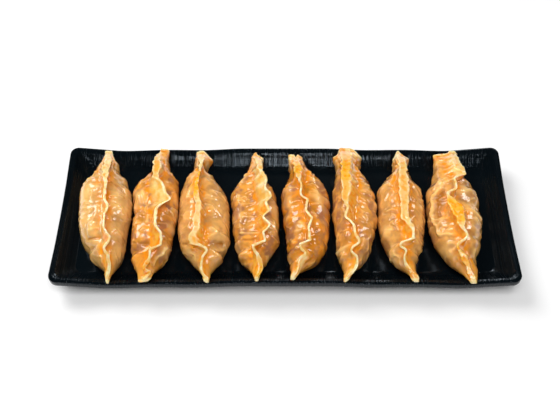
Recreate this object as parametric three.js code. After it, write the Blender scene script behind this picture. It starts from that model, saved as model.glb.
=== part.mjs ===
// Eight boiled kimchi dumplings in a row on a long black plate.
// Millimetres. +X runs along the plate, +Y away from the eater, +Z up. The plate stands on z = 0.
import * as THREE from "three";

// ---------------------------------------------------------------- driving sizes of the plate
const PLATE_WIDTH = 300;
const PLATE_DEPTH = 108;
const CORNER_RADIUS = 8;
const FLOOR_TOP = 6.5; // the face that the dumplings lie on
const RIM_TOP = 16; // the rim's top in the middle of a long side
const LIP_HEIGHT = 5.2; // the upright outer face of the rim
const LIP_THICKNESS = 2.4;
const EDGE_ROUND = 0.8; // the small rounding along the lip's edges
const SLOPE_RUN = 11.6; // from the lip's inner edge in to the flat floor
// The slope's hollow curve: [share of its run, share of its fall, share of the rim's lift that it takes].
const SLOPE_CURVE = [
  [0.4, 0.47, 0.55],
  [0.78, 0.88, 0.15],
];
const INNER_CORNER_LOSS = 0.4; // how fast the corner radius shrinks towards the middle
const SMALLEST_CORNER = 2;
const FOOT_INSET = 19; // from the outline in to the outer edge of the foot
const FOOT_WIDTH = 8;
const RECESS_DEPTH = 1.5; // how far the underside is hollowed inside the foot
const UNDER_LIP_LIFT = 0.8; // share of the rim's lift just behind the lip's lower edge

// The rim rises and falls: [distance from the middle, lift].
const LONG_RIM_WAVE = [
  [0, 0],
  [28, 0],
  [58, -1.8],
  [82, -1.5],
  [112, -2.7],
  [130, -0.8],
  [150, 1.2],
];
const SHORT_RIM_WAVE = [
  [0, -1.5],
  [20, -1.2],
  [54, 1.2],
];

const LONG_SIDE_STEPS = 24;
const SHORT_SIDE_STEPS = 8;
const CORNER_STEPS = 4;

// ---------------------------------------------------------------- driving sizes of the dumplings
const REST_GAP = 0.3; // dough to plate
const STATION_STEP = 3.1; // the longest step between two cross-sections
const TAIL_TAPER = 0.9; // where along the dumpling the tail flap's own end shape sets in
const OUTLINE_AT = [-48, -36, -24, -12, 0, 12, 23, 32, 44]; // y of each outline value below
const END_ROUND = 0.6;
const TIP_SHARE = 0.07; // the front tip narrows over this share of the length,
const TIP_TAPER = 0.5; // down to this share of its width
const DROP_SHARE = 0.12; // and is let down to the rim over this share

// Lengthwise profiles that all dumplings share: [share of the length from front tip to tail, height].
const UNDERSIDE = [
  [0, 10.8],
  [0.04, 9],
  [0.09, 4.8],
  [0.14, 1.3],
  [0.19, 0],
  [0.76, 0],
  [0.83, 2],
  [0.9, 7],
  [0.96, 10.5],
  [1, 11.5],
];
const CREST_TOP = [
  [0, 14.2],
  [0.04, 16],
  [0.09, 19],
  [0.14, 22.4],
  [0.19, 25.4],
  [0.24, 27.5],
  [0.33, 29.2],
  [0.53, 29.4],
  [0.63, 28.7],
  [0.73, 26.8],
  [0.82, 23.4],
  [0.92, 18.4],
  [1, 14.8],
];
const CREST_BAND = [
  [0, 1.4],
  [0.05, 2.2],
  [0.1, 3],
  [0.2, 4.8],
  [0.35, 6],
  [0.65, 5.8],
  [0.78, 4.6],
  [0.88, 3.2],
  [0.95, 2],
  [1, 1.2],
];

// How the flank is rounded from the underside up: [share of the half width, share of the body height].
const FLANK = [
  [0.56, 0],
  [0.89, 0.14],
  [1, 0.4],
  [0.9, 0.64],
  [0.66, 0.83],
];
const SHOULDER_INDEX = FLANK.length - 1;
const UPPER_SHOULDER = { inward: 0.5, height: 0.94 }; // between the last flank point and the crest's foot
// The crest from its foot to its edge: [share of its lean, share of its height, share of its thickness].
const CREST = [
  [0, 0.02, 1.3],
  [0.55, 0.5, 1],
  [1, 1, 0.8],
];
const CREST_WIDTH_LIMIT = 0.92; // of the cross-section's width, where a tip or tail is narrow
const CREST_FOLLOW = 0.35; // how far the crest's foot follows the crest's lean
const PLEAT_FOLLOW = 0.25; // and how far it follows each single pleat
const PLEAT_RELIEF = 0.3; // millimetres on the flank for each millimetre of a pleat's swing
const PLEAT_SPAN = 9; // the crest line is averaged over this much to both sides
const MOST_SLANT = 2.2; // widest cut through a crest that runs across the cross-section
const FLAT_ENDS = { front: 0.12, back: 0.16 }; // shares of the length where the dough is pressed flat
const RELIEF_START = 0.12; // share of the body height below which folds fade out
const RELIEF_RISE = 0.6; // and the further share over which they reach their full depth
const RIDGE_REACH = 30; // half length of a shoulder ridge
const SLANT_PROBE = 0.5; // the crest's direction is taken over this much to both sides

// One recipe for each dumpling, left to right. x is from the dumpling's own middle.
//   left, right  the outline at OUTLINE_AT
//   crest        the pressed edge as [y, x, thickness], from the front tip to the tail
//   tipDrop      how much lower the front tip lies than in the shared profiles, where the rim dips
//   crestScale   how high the crest stands against the shared profile
//   tail         how far the flap's left corner, middle and right corner stand back from its end
//   creases      folds across a flank as [side, y, depth, half width]; a negative depth is a ridge
//   ridge        height of the long fold on the left shoulder, with a trough beside it
const DUMPLINGS = [
  {
    middle: -120,
    left: [5.5, -5, -12, -15.5, -17, -18.5, -14.5, -9, -4.5],
    right: [10.5, 15.5, 17, 17.5, 18, 16, 12, 4.5, 1],
    crest: [
      [-53.4, 8, 3.2],
      [-46, 9.5, 3],
      [-41, 9, 2.6],
      [-37, 6.5, 2.4],
      [-32, 10, 2.4],
      [-25, 6, 2.4],
      [-16, 5, 2.4],
      [-9, 6.5, 2.4],
      [-3, 3.5, 2.6],
      [7, 3, 3.2],
      [23, 0.5, 4.4],
      [34, 0, 4.6],
      [47, -2.5, 4],
    ],
    tipDrop: 3,
    crestScale: 0.9,
    tail: [-1, 0, -3],
    creases: [
      [-1, -33, 1.8, 2.2],
      [-1, 16, -1.2, 2.4],
      [1, 9, -1.2, 2.4],
    ],
    ridge: 0,
  },
  {
    middle: -87,
    left: [-7, -12, -13, -13, -13, -15.5, -10.5, -4, -2],
    right: [3, 11, 14, 15, 15.5, 15.5, 14.5, 9.5, 6.5],
    crest: [
      [-53, -3.5, 3.6],
      [-48, -1.5, 3.2],
      [-42, 2.8, 3],
      [-38, 2, 2.6],
      [-35, 9.5, 2.6],
      [-25, 6, 2.8],
      [-14, 4, 3],
      [-4, 13, 3.4],
      [5, 6, 4],
      [19, 3, 6],
      [34, 5, 5],
      [49, 4.5, 4.6],
    ],
    tipDrop: 1.5,
    crestScale: 1.15,
    tail: [-6, -2, 0],
    creases: [
      [-1, -34, 1.6, 2.4],
      [1, -20, 1.2, 2.6],
    ],
    ridge: 1,
  },
  {
    middle: -53,
    left: [-1.5, -9.5, -16, -17.5, -17.5, -17, -15, -7.5, -8],
    right: [6, 13, 17, 16.5, 16, 13.5, 6, 0.5, 4.5],
    crest: [
      [-53.4, 3.8, 3.4],
      [-48, 0.2, 2.8],
      [-42, 1.2, 2.6],
      [-38, 3.7, 2.6],
      [-34.5, -5.7, 3.4],
      [-23, -2.5, 3.6],
      [-10, -3, 3.6],
      [-3, -1.7, 3.6],
      [10, -5, 5.5],
      [18, -4, 5],
      [27, -3, 4.5],
      [47, -4.5, 4],
    ],
    tipDrop: 1.8,
    crestScale: 0.95,
    tail: [0, -3, -6],
    creases: [
      [1, -34, 2.4, 2.2],
      [1, -39, -1.4, 2.2],
      [-1, -36, 1.2, 2.4],
      [1, -24, -1, 2.4],
    ],
    ridge: 0,
  },
  {
    middle: -20,
    left: [-2, -9, -12.5, -14.5, -15, -16.5, -10, -5, -3.5],
    right: [4.5, 9.5, 16, 16, 15.5, 14, 8, 4, 5],
    crest: [
      [-53, 2, 3.6],
      [-48, 4, 3.2],
      [-43, 4, 2.8],
      [-39, 1.6, 2.4],
      [-35.5, -0.3, 2.4],
      [-33, 7.5, 2.4],
      [-28, 6.5, 2.4],
      [-23, 10.6, 2.4],
      [-17, 6, 2.4],
      [-12, 10, 2.6],
      [-6, 7.8, 2.6],
      [-1, 11.2, 2.8],
      [7, 7, 3.2],
      [13, 8, 3.6],
      [21, 4.5, 4],
      [31, 3, 4.4],
      [45.5, 0.7, 4.4],
    ],
    tipDrop: 0.6,
    crestScale: 1.4,
    tail: [-3, 0, -4],
    creases: [
      [-1, -28, -1.4, 1.8],
      [-1, -33, 1.4, 2],
      [-1, -3, -1, 2],
      [-1, 9, 1, 2.2],
    ],
    ridge: 1.1,
  },
  {
    middle: 13.5,
    left: [-8, -11, -12.5, -14, -15, -16, -11.5, -9.5, -11.5],
    right: [-1.5, 10, 14.5, 15.5, 16.5, 16, 11, 1, -1],
    crest: [
      [-52.5, -9, 3.6],
      [-48, -6, 3.4],
      [-42, -4.4, 2.8],
      [-39, -0.5, 2.4],
      [-35.5, -4.2, 2.4],
      [-31.5, 2.3, 2.4],
      [-25, 1.5, 2.4],
      [-18, 3.4, 2.4],
      [-12, 0, 2.4],
      [-4, 1, 2.6],
      [0, -3.5, 2.6],
      [7, -2.6, 2.8],
      [14, -4.2, 3.6],
      [25, -4.7, 5],
      [44.5, -6.5, 4.4],
    ],
    tipDrop: 0.6,
    crestScale: 1,
    tail: [0, -3, -1],
    creases: [
      [-1, -25, 1.6, 2.6],
      [1, -26, 1.4, 2.6],
      [1, 4, -1.2, 2.2],
    ],
    ridge: 0,
  },
  {
    middle: 46.5,
    left: [-8, -12, -13, -14, -14.5, -14, -12.5, -11, -13],
    right: [-1.5, 5.5, 10.5, 13.5, 14, 13.5, 10, 5, 6.5],
    crest: [
      [-53.4, -8.5, 3.6],
      [-50, -4.5, 3.4],
      [-45, -1, 2.8],
      [-42, -1, 2.6],
      [-38, -5.4, 2.4],
      [-33, 0.2, 2.4],
      [-29, -2, 2.4],
      [-22, -3.7, 2.6],
      [-16, -8.3, 3],
      [-10, -6.7, 3.2],
      [-3, -9, 3.6],
      [4, -6.7, 4.6],
      [20, -6.3, 6],
      [36, -3.3, 6],
      [50, -2, 6],
    ],
    tipDrop: 1,
    crestScale: 1,
    tail: [-6, 0, -4],
    creases: [
      [1, -20, -1, 2.2],
      [1, -8, -1.2, 2.2],
      [1, 1, -1.2, 2.2],
      [1, 10, -1.2, 2.2],
      [-1, -36, 1.2, 2.4],
    ],
    ridge: 0,
  },
  {
    middle: 78,
    left: [-3, -10, -15, -16.5, -16, -15.5, -10, -3, -4.5],
    right: [3.5, 8, 11.5, 14, 15, 14, 8.5, 5, 7.5],
    crest: [
      [-53, 4.5, 4.6],
      [-47, -0.7, 3.4],
      [-42, -3.3, 2.8],
      [-38, -2.1, 2.4],
      [-34, -5.7, 2.4],
      [-30.5, 2.8, 2.6],
      [-23, -1.2, 4],
      [-15, -2.4, 5],
      [-8, -1, 5.4],
      [5, 0, 5.6],
      [20, 0.6, 5.6],
      [31, 1.2, 5],
      [47, 0.7, 4.6],
    ],
    tipDrop: 1.8,
    crestScale: 0.85,
    tail: [-5, 0, -5],
    creases: [
      [-1, -24, -1.4, 2],
      [-1, -31, 1.4, 2.2],
      [-1, 14, -1, 2.2],
      [1, 14, -1, 2.2],
    ],
    ridge: 0,
  },
  {
    middle: 113,
    left: [-2.5, -9.5, -16.5, -18, -18.5, -17.5, -14, -12.5, -12],
    right: [8.5, 9.5, 14.5, 16.5, 17, 16.5, 11, 5.5, 6.5],
    crest: [
      [-53.4, 6, 3.8],
      [-49, 3.1, 3.2],
      [-41, -1.5, 2.8],
      [-36, -4.9, 2.4],
      [-30, 2, 2.6],
      [-24, 0.3, 3],
      [-16, 0, 4],
      [-9, -3, 4.6],
      [-3, -2.9, 4.6],
      [3, -7.8, 4.4],
      [9, 0.2, 3.6],
      [16, -1.2, 3.4],
      [19.5, 5.9, 3.6],
      [30, 3.1, 5],
      [47, 3.4, 5.5],
    ],
    tipDrop: 3,
    crestScale: 1.05,
    tail: [-2, -1, 0],
    creases: [
      [-1, -27, -1.4, 1.8],
      [-1, -16, -1.2, 1.8],
      [-1, -34, 1.2, 2],
      [1, -9, -1.2, 2.6],
      [1, -25, 1.2, 2.4],
    ],
    ridge: 1.2,
  },
];

// ---------------------------------------------------------------- small mathematics
const mix = (a, b, share) => a + (b - a) * share;
const clamp = (value, low, high) => Math.min(high, Math.max(low, value));
const bell = (distance) => Math.exp(-distance * distance);

// The slope of a smooth curve at one of its knots: level at each turning point, so it never overshoots.
function slopeAtKnot(knots, i) {
  if (i === 0 || i === knots.length - 1) {
    return 0;
  }
  const before = knots[i][0] - knots[i - 1][0];
  const after = knots[i + 1][0] - knots[i][0];
  const slopeBefore = (knots[i][1] - knots[i - 1][1]) / before;
  const slopeAfter = (knots[i + 1][1] - knots[i][1]) / after;
  if (slopeBefore * slopeAfter <= 0) {
    return 0;
  }
  const weightBefore = 2 * after + before;
  const weightAfter = after + 2 * before;
  return (
    (weightBefore + weightAfter) /
    (weightBefore / slopeBefore + weightAfter / slopeAfter)
  );
}

// A smooth curve through [at, value] knots, read at one place and level beyond its ends.
function curve(knots, at) {
  const last = knots.length - 1;
  if (at <= knots[0][0]) {
    return knots[0][1];
  }
  if (at >= knots[last][0]) {
    return knots[last][1];
  }
  const i = knots.findIndex((knot) => knot[0] > at) - 1;
  const step = knots[i + 1][0] - knots[i][0];
  const t = (at - knots[i][0]) / step;
  const rise = t * t * (3 - 2 * t);
  const lean = t * (1 - t) * step;
  return (
    mix(knots[i][1], knots[i + 1][1], rise) +
    lean * (1 - t) * slopeAtKnot(knots, i) -
    lean * t * slopeAtKnot(knots, i + 1)
  );
}

// ---------------------------------------------------------------- closed skins from rings of points
// Joins rings that have the same number of points into one closed skin, with a point to close each end.
function skin(rings, firstTip, lastTip) {
  const around = rings[0].length;
  const positions = [firstTip, ...rings.flat(), lastTip].flat();
  const lastTipIndex = 1 + rings.length * around;
  const triangles = [];
  const at = (ring, i) => 1 + ring * around + (i % around);
  for (let i = 0; i < around; i++) {
    triangles.push(0, at(0, i + 1), at(0, i));
    triangles.push(
      lastTipIndex,
      at(rings.length - 1, i),
      at(rings.length - 1, i + 1),
    );
  }
  for (let ring = 0; ring + 1 < rings.length; ring++) {
    for (let i = 0; i < around; i++) {
      triangles.push(at(ring, i), at(ring, i + 1), at(ring + 1, i));
      triangles.push(at(ring, i + 1), at(ring + 1, i + 1), at(ring + 1, i));
    }
  }
  const geometry = new THREE.BufferGeometry();
  geometry.setAttribute(
    "position",
    new THREE.Float32BufferAttribute(positions, 3),
  );
  geometry.setIndex(triangles);
  geometry.computeVertexNormals();
  return geometry;
}

// ---------------------------------------------------------------- the plate
// The plate's outline, drawn in by `inset`, with the same number of points for every inset.
function outlineRing(inset) {
  const halfWidth = PLATE_WIDTH / 2 - inset;
  const halfDepth = PLATE_DEPTH / 2 - inset;
  const radius = Math.max(
    CORNER_RADIUS - inset * INNER_CORNER_LOSS,
    SMALLEST_CORNER,
  );
  const points = [];
  const corners = [
    { x: 1, y: 1, start: 0, steps: LONG_SIDE_STEPS },
    { x: -1, y: 1, start: 1, steps: SHORT_SIDE_STEPS },
    { x: -1, y: -1, start: 2, steps: LONG_SIDE_STEPS },
    { x: 1, y: -1, start: 3, steps: SHORT_SIDE_STEPS },
  ];
  corners.forEach((corner, i) => {
    for (let step = 0; step < CORNER_STEPS; step++) {
      const angle = (corner.start + step / CORNER_STEPS) * (Math.PI / 2);
      points.push([
        corner.x * (halfWidth - radius) + radius * Math.cos(angle),
        corner.y * (halfDepth - radius) + radius * Math.sin(angle),
      ]);
    }
    const next = corners[(i + 1) % corners.length];
    const angle = (corner.start + 1) * (Math.PI / 2);
    const from = [
      corner.x * (halfWidth - radius) + radius * Math.cos(angle),
      corner.y * (halfDepth - radius) + radius * Math.sin(angle),
    ];
    const to = [
      next.x * (halfWidth - radius) + radius * Math.cos(angle),
      next.y * (halfDepth - radius) + radius * Math.sin(angle),
    ];
    for (let step = 0; step < corner.steps; step++) {
      const share = step / corner.steps;
      points.push([mix(from[0], to[0], share), mix(from[1], to[1], share)]);
    }
  });
  return points;
}

// How much the rim is raised or lowered beside the point (x, y).
function rimLift(x, y) {
  const alongLong = curve(LONG_RIM_WAVE, Math.abs(x));
  const alongShort = curve(SHORT_RIM_WAVE, Math.abs(y));
  const toLong = PLATE_DEPTH / 2 - Math.abs(y);
  const toShort = PLATE_WIDTH / 2 - Math.abs(x);
  return toLong < toShort ? alongLong : alongShort;
}

function makePlate() {
  const lipBottom = RIM_TOP - LIP_HEIGHT;
  const slopeTop = RIM_TOP - EDGE_ROUND / 2;
  const slope = SLOPE_CURVE.map(([run, fall, lift]) => [
    LIP_THICKNESS + SLOPE_RUN * run,
    mix(slopeTop, FLOOR_TOP, fall),
    lift,
  ]);
  // [inset, height, how much of the rim's lift this ring takes]
  const profile = [
    [FOOT_INSET + FOOT_WIDTH, RECESS_DEPTH, 0],
    [FOOT_INSET + FOOT_WIDTH, 0, 0],
    [FOOT_INSET, 0, 0],
    [LIP_THICKNESS * 2, lipBottom - EDGE_ROUND, UNDER_LIP_LIFT],
    [EDGE_ROUND, lipBottom, 1],
    [0, lipBottom + EDGE_ROUND, 1],
    [0, RIM_TOP - EDGE_ROUND, 1],
    [EDGE_ROUND, RIM_TOP, 1],
    [LIP_THICKNESS, slopeTop, 1],
    ...slope,
    [LIP_THICKNESS + SLOPE_RUN, FLOOR_TOP, 0],
  ];
  const outline = outlineRing(0);
  const rings = profile.map(([inset, height, share]) =>
    outlineRing(inset).map(([x, y], i) => [
      x,
      y,
      height + share * rimLift(outline[i][0], outline[i][1]),
    ]),
  );
  return skin(rings, [0, 0, RECESS_DEPTH], [0, 0, FLOOR_TOP]);
}

// ---------------------------------------------------------------- a dumpling
// A recipe's lists as curves along y.
function curvesOf(recipe) {
  const along = (values) => values.map((value, i) => [OUTLINE_AT[i], value]);
  const front = recipe.crest[0][0];
  const back = recipe.crest.at(-1)[0];
  return {
    front,
    back,
    left: along(recipe.left),
    right: along(recipe.right),
    edge: recipe.crest.map(([y, x]) => [y, x]),
    thickness: recipe.crest.map(([y, , thickness]) => [y, thickness]),
  };
}

// The y of every cross-section: one at each knot of the crest, and more between where they lie far apart.
function stationsOf(curves) {
  const stations = [curves.front];
  for (let i = 1; i < curves.edge.length; i++) {
    const from = curves.edge[i - 1][0];
    const to = curves.edge[i][0];
    const steps = Math.ceil((to - from) / STATION_STEP);
    for (let step = 1; step <= steps; step++) {
      stations.push(mix(from, to, step / steps));
    }
  }
  return stations;
}

// The crest's line with its pleats averaged out.
function calmEdge(curves, y) {
  const samples = [-1, -0.5, 0, 0.5, 1].map((share) =>
    curve(curves.edge, y + share * PLEAT_SPAN),
  );
  return samples.reduce((sum, x) => sum + x, 0) / samples.length;
}

// How far the flank stands out at this y, on one side, apart from its outline.
function reliefAt(recipe, curves, y, side) {
  const swing = curve(curves.edge, y) - calmEdge(curves, y);
  const pleats = side * PLEAT_RELIEF * swing;
  const folds = recipe.creases
    .filter(([creaseSide]) => creaseSide === side)
    .map(([, at, depth, halfWidth]) => depth * bell((y - at) / halfWidth))
    .reduce((sum, depth) => sum + depth, 0);
  return pleats - folds;
}

// One side of the cross-section at y, from the underside up to the crest's edge, as [x, z].
function halfSection(recipe, curves, y, side) {
  const share = (y - curves.front) / (curves.back - curves.front);
  const left = curve(curves.left, y);
  const right = curve(curves.right, y);
  const edgeX = curve(curves.edge, y);
  const ends = clamp(
    Math.min(share / FLAT_ENDS.front, (1 - share) / FLAT_ENDS.back),
    0,
    1,
  );
  const middle = mix(edgeX, (left + right) / 2, ends);
  const taper = mix(TIP_TAPER, 1, clamp(share / TIP_SHARE, 0, 1));
  const halfWidth = (taper * (right - left)) / 2;
  const drop = recipe.tipDrop * clamp(1 - share / DROP_SHARE, 0, 1);
  const bottom = curve(UNDERSIDE, share) - drop;
  const top = curve(CREST_TOP, share) - drop;
  const foot = top - recipe.crestScale * curve(CREST_BAND, share);
  const calm = calmEdge(curves, y);
  const footX =
    middle +
    CREST_FOLLOW * (calm - middle) +
    PLEAT_FOLLOW * (edgeX - calm) * ends;
  const slant =
    curve(curves.edge, y + SLANT_PROBE) - curve(curves.edge, y - SLANT_PROBE);
  const cut = clamp(Math.hypot(1, slant / (2 * SLANT_PROBE)), 1, MOST_SLANT);
  const halfEdge = Math.min(
    (curve(curves.thickness, y) * cut) / 2,
    halfWidth * CREST_WIDTH_LIMIT,
  );
  const relief = reliefAt(recipe, curves, y, side) * ends;
  const ridge = side < 0 ? recipe.ridge * ends * bell(y / RIDGE_REACH) : 0;
  const flank = FLANK.map(([out, up], i) => {
    const fold = relief * clamp((up - RELIEF_START) / RELIEF_RISE, 0, 1);
    const lift = i === SHOULDER_INDEX ? ridge : 0;
    return [
      middle + side * (out * halfWidth + fold),
      mix(bottom, foot, up) + lift,
    ];
  });
  const crest = CREST.map(([lean, up, thickness]) => [
    mix(footX, edgeX, lean) + side * halfEdge * thickness,
    mix(foot, top, up),
  ]);
  const trough = [
    mix(crest[0][0], flank[SHOULDER_INDEX][0], UPPER_SHOULDER.inward),
    mix(bottom, foot, UPPER_SHOULDER.height) - ridge,
  ];
  return [...flank, trough, ...crest];
}

// Bends the flap's end: its corners stand back from the tail's furthest point.
function tailShift(recipe, share, across) {
  const amount = clamp((share - TAIL_TAPER) / (1 - TAIL_TAPER), 0, 1);
  const [left, middle, right] = recipe.tail;
  const corner = across < 0 ? left : right;
  return amount * mix(middle, corner, clamp(Math.abs(across), 0, 1));
}

// The point that closes an end: the ring's centre, pushed out a little.
function tipOf(ring, push) {
  const centre = [0, 1, 2].map(
    (axis) => ring.reduce((sum, point) => sum + point[axis], 0) / ring.length,
  );
  return [centre[0], centre[1] + push, centre[2]];
}

function makeDumpling(recipe) {
  const curves = curvesOf(recipe);
  const length = curves.back - curves.front;
  const rings = stationsOf(curves).map((y) => {
    const rightHalf = halfSection(recipe, curves, y, 1);
    const leftHalf = halfSection(recipe, curves, y, -1);
    const ring = [...leftHalf, ...rightHalf.reverse()];
    const xs = ring.map(([x]) => x);
    const middle = (Math.max(...xs) + Math.min(...xs)) / 2;
    const halfWidth = (Math.max(...xs) - Math.min(...xs)) / 2;
    const share = (y - curves.front) / length;
    return ring.map(([x, z]) => [
      x,
      y + tailShift(recipe, share, (x - middle) / halfWidth),
      z,
    ]);
  });
  return skin(
    rings,
    tipOf(rings[0], -END_ROUND),
    tipOf(rings.at(-1), END_ROUND),
  );
}

// ---------------------------------------------------------------- the whole dish
const melamine = new THREE.MeshStandardMaterial({
  color: "#14191c",
  roughness: 0.5,
  metalness: 0,
});
const dough = new THREE.MeshStandardMaterial({
  color: "#d69b53",
  roughness: 0.3,
  metalness: 0,
});

const dish = new THREE.Group();

const plate = new THREE.Mesh(makePlate(), melamine);
plate.name = "plate";
dish.add(plate);

DUMPLINGS.forEach((recipe, i) => {
  const dumpling = new THREE.Mesh(makeDumpling(recipe), dough);
  dumpling.name = `dumpling_${i + 1}`;
  dumpling.position.set(recipe.middle, 0, FLOOR_TOP + REST_GAP);
  dish.add(dumpling);
});

export default dish;
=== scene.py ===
# %% [markdown]
# # Eight kimchi dumplings on a black plate
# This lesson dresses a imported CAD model. The frame holds the plate and the eight dumplings at their real
# size and place, as plain solids. Each one gets a finer skin here, which stands exactly where its solid is.
# Every Blender object is in metres, but the sizes below are in millimetres, as in the CAD, and `MM` turns
# one into the other. Where a size isn't in millimetres, its line says so.

import math

import bmesh
import bpy
import numpy as np
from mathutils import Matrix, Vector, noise


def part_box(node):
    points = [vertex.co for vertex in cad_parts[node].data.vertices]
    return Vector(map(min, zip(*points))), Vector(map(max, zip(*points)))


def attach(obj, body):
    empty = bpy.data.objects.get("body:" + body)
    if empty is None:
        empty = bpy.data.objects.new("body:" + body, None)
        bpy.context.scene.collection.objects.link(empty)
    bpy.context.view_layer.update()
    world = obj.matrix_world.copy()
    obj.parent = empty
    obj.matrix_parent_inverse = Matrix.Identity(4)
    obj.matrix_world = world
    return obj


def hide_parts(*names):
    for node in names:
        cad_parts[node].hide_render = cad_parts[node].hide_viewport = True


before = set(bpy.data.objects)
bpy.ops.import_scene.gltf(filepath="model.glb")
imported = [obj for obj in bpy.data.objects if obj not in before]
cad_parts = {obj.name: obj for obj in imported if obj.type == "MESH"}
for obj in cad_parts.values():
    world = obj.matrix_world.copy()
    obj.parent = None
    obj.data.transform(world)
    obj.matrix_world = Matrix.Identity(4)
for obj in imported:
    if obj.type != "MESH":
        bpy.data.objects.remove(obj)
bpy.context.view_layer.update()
MM = 0.001

# %% [markdown]
# ## Camera
# The dish was seen from in front and well above, looking down by 56 degrees. The place comes from the
# perspective of the plate: its back edge looks shorter than its front edge, and the size of the picture
# says how long the lens has to be. Depth of field stays off, so everything is sharp.

# %% The camera
CAMERA_PLACE = (-3.2, -297.857, 459.596)
CAMERA_LOOKS_DOWN = 56  # degrees below the horizon
LENS = 51.47  # on the standard 36 mm sensor

camera_data = bpy.data.cameras.new("camera")
camera_data.lens = LENS
camera = bpy.data.objects.new("camera", camera_data)
camera.location = [v * MM for v in CAMERA_PLACE]
camera.rotation_euler = (math.radians(90 - CAMERA_LOOKS_DOWN), 0, 0)
bpy.context.scene.collection.objects.link(camera)
bpy.context.scene.camera = camera
print("camera at", CAMERA_PLACE, "mm, lens", LENS, "mm")

# %% [markdown]
# ## Colours and nodes
# Colours are written as the hex values that a screen shows. Blender works in linear light, so one function
# turns them over. A second small function adds a node, sets it up and wires its inputs: an input that is
# given a socket is linked, and one that is given a number or colour is set.


# %% Helpers for materials
def colour(hex_value):
    """A screen colour such as "#14191c" as linear red, green, blue and alpha."""
    parts = [int(hex_value[i : i + 2], 16) / 255 for i in (1, 3, 5)]
    linear = [c / 12.92 if c <= 0.04045 else ((c + 0.055) / 1.055) ** 2.4 for c in parts]
    return (*linear, 1)


def add(tree, kind, inputs=None, **settings):
    """Adds a shader node of this kind with its settings, and sets or links its inputs."""
    node = tree.nodes.new("ShaderNode" + kind)
    for name, value in settings.items():
        setattr(node, name, value)
    for name, value in (inputs or {}).items():
        if isinstance(value, bpy.types.NodeSocket):
            tree.links.new(value, node.inputs[name])
        else:
            node.inputs[name].default_value = value
    return node


def new_material(name):
    """An empty material, its node tree and its finished surface node."""
    material = bpy.data.materials.new(name)
    material.use_nodes = True
    tree = material.node_tree
    tree.nodes.clear()
    surface = add(tree, "BsdfPrincipled")
    add(tree, "OutputMaterial", {"Surface": surface.outputs["BSDF"]})
    return material, tree, surface


# %% [markdown]
# ## Table
# The dish stands on a plain white table, far larger than the picture, so no edge of it shows.

# %% The table
TABLE_SIZE = 12.0  # metres
TABLE_COLOUR = "#f4f4f4"

table = bmesh.new()
bmesh.ops.create_grid(table, x_segments=1, y_segments=1, size=TABLE_SIZE / 2)
table_mesh = bpy.data.meshes.new("table")
table.to_mesh(table_mesh)
table.free()
table_top = bpy.data.objects.new("table", table_mesh)
bpy.context.scene.collection.objects.link(table_top)
table_paint, tree, surface = new_material("white_table")
surface.inputs["Base Color"].default_value = colour(TABLE_COLOUR)
surface.inputs["Roughness"].default_value = 0.9
surface.inputs["Specular IOR Level"].default_value = 0.1
table_mesh.materials.append(table_paint)

# %% [markdown]
# ## Light
# A wide soft panel behind the dish on the left throws a soft shadow to the front and the right, and a second
# one overhead fills it in. Wet dough and black melamine both mirror their lamps, but not alike: the dough
# has many small glints, and the plate only a faint sheen on its back slope and a row of bright dashes on its
# front lip. So neither panel shows in a reflection. Small gloss lamps do that work. They light nothing
# else, and light linking gives each one to the dumplings or to the plate alone. The room isn't mirrored
# either, because it would turn the black floor of the plate grey.

# %% The lights
SOFT_PANELS = [
    # (name, place in metres, size in metres, watts)
    ("soft_back_left", (-0.75, 0.75, 1.0), 0.8, 15),
    ("soft_above", (0.1, -0.4, 1.3), 0.9, 12),
]
GLINTS_ON_DOUGH = [
    # (name, place in metres, size in metres, watts, spread in degrees)
    ("glint_left", (-0.95, 0.5, 0.8), 0.42, 3.6, 180),
    ("glint_right", (0.95, 0.35, 0.85), 0.42, 4.2, 180),
    ("glint_above", (-0.2, 0.35, 1.3), 0.42, 4.2, 180),
    ("glint_front", (0.45, -0.9, 1.0), 0.42, 3.6, 180),
]
SHEEN_ON_BLACK = [
    # A narrow spread makes a lamp far stronger, so the first one needs little power.
    ("streaks_on_back_slope", (0, -1.05, 0.82), 0.2, 0.04, 10),
    ("dashes_on_front_lip", (0.1, 1.2, 0.75), 0.15, 3.5, 180),
]
ROOM_STRENGTH = 0.25


def panel(name, place, size, watts):
    """A square light at a place in metres, turned towards the dish."""
    data = bpy.data.lights.new(name, "AREA")
    data.shape = "SQUARE"
    data.size = size
    data.energy = watts
    lamp = bpy.data.objects.new(name, data)
    lamp.location = place
    lamp.rotation_euler = lamp.location.to_track_quat("Z", "Y").to_euler()
    bpy.context.scene.collection.objects.link(lamp)
    return lamp


def gloss_lamp(name, place, size, watts, spread, group):
    """A lamp that only shows as a reflection, and only on the pieces of one group."""
    lamp = panel(name, place, size, watts)
    lamp.data.spread = math.radians(spread)
    lamp.visible_diffuse = False
    lamp.light_linking.receiver_collection = group


for light in SOFT_PANELS:
    panel(*light).visible_glossy = False
wet_pieces = bpy.data.collections.new("wet_pieces")
for light in GLINTS_ON_DOUGH:
    gloss_lamp(*light, wet_pieces)
black_pieces = bpy.data.collections.new("black_pieces")
for light in SHEEN_ON_BLACK:
    gloss_lamp(*light, black_pieces)

world = bpy.data.worlds.new("room")
world.use_nodes = True
world.node_tree.nodes["Background"].inputs["Color"].default_value = colour("#ffffff")
world.node_tree.nodes["Background"].inputs["Strength"].default_value = ROOM_STRENGTH
bpy.context.scene.world = world
world.cycles_visibility.glossy = False
bpy.context.scene.view_settings.view_transform = "Standard"
print("lights:", len(bpy.data.lights))

# %% [markdown]
# ## Curves through a few knots
# Every long form here is drawn as a maker would note it: a few places along it, each with a size. A smooth
# curve runs through them. It is level at each turn, so it never swings past a knot.


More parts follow.
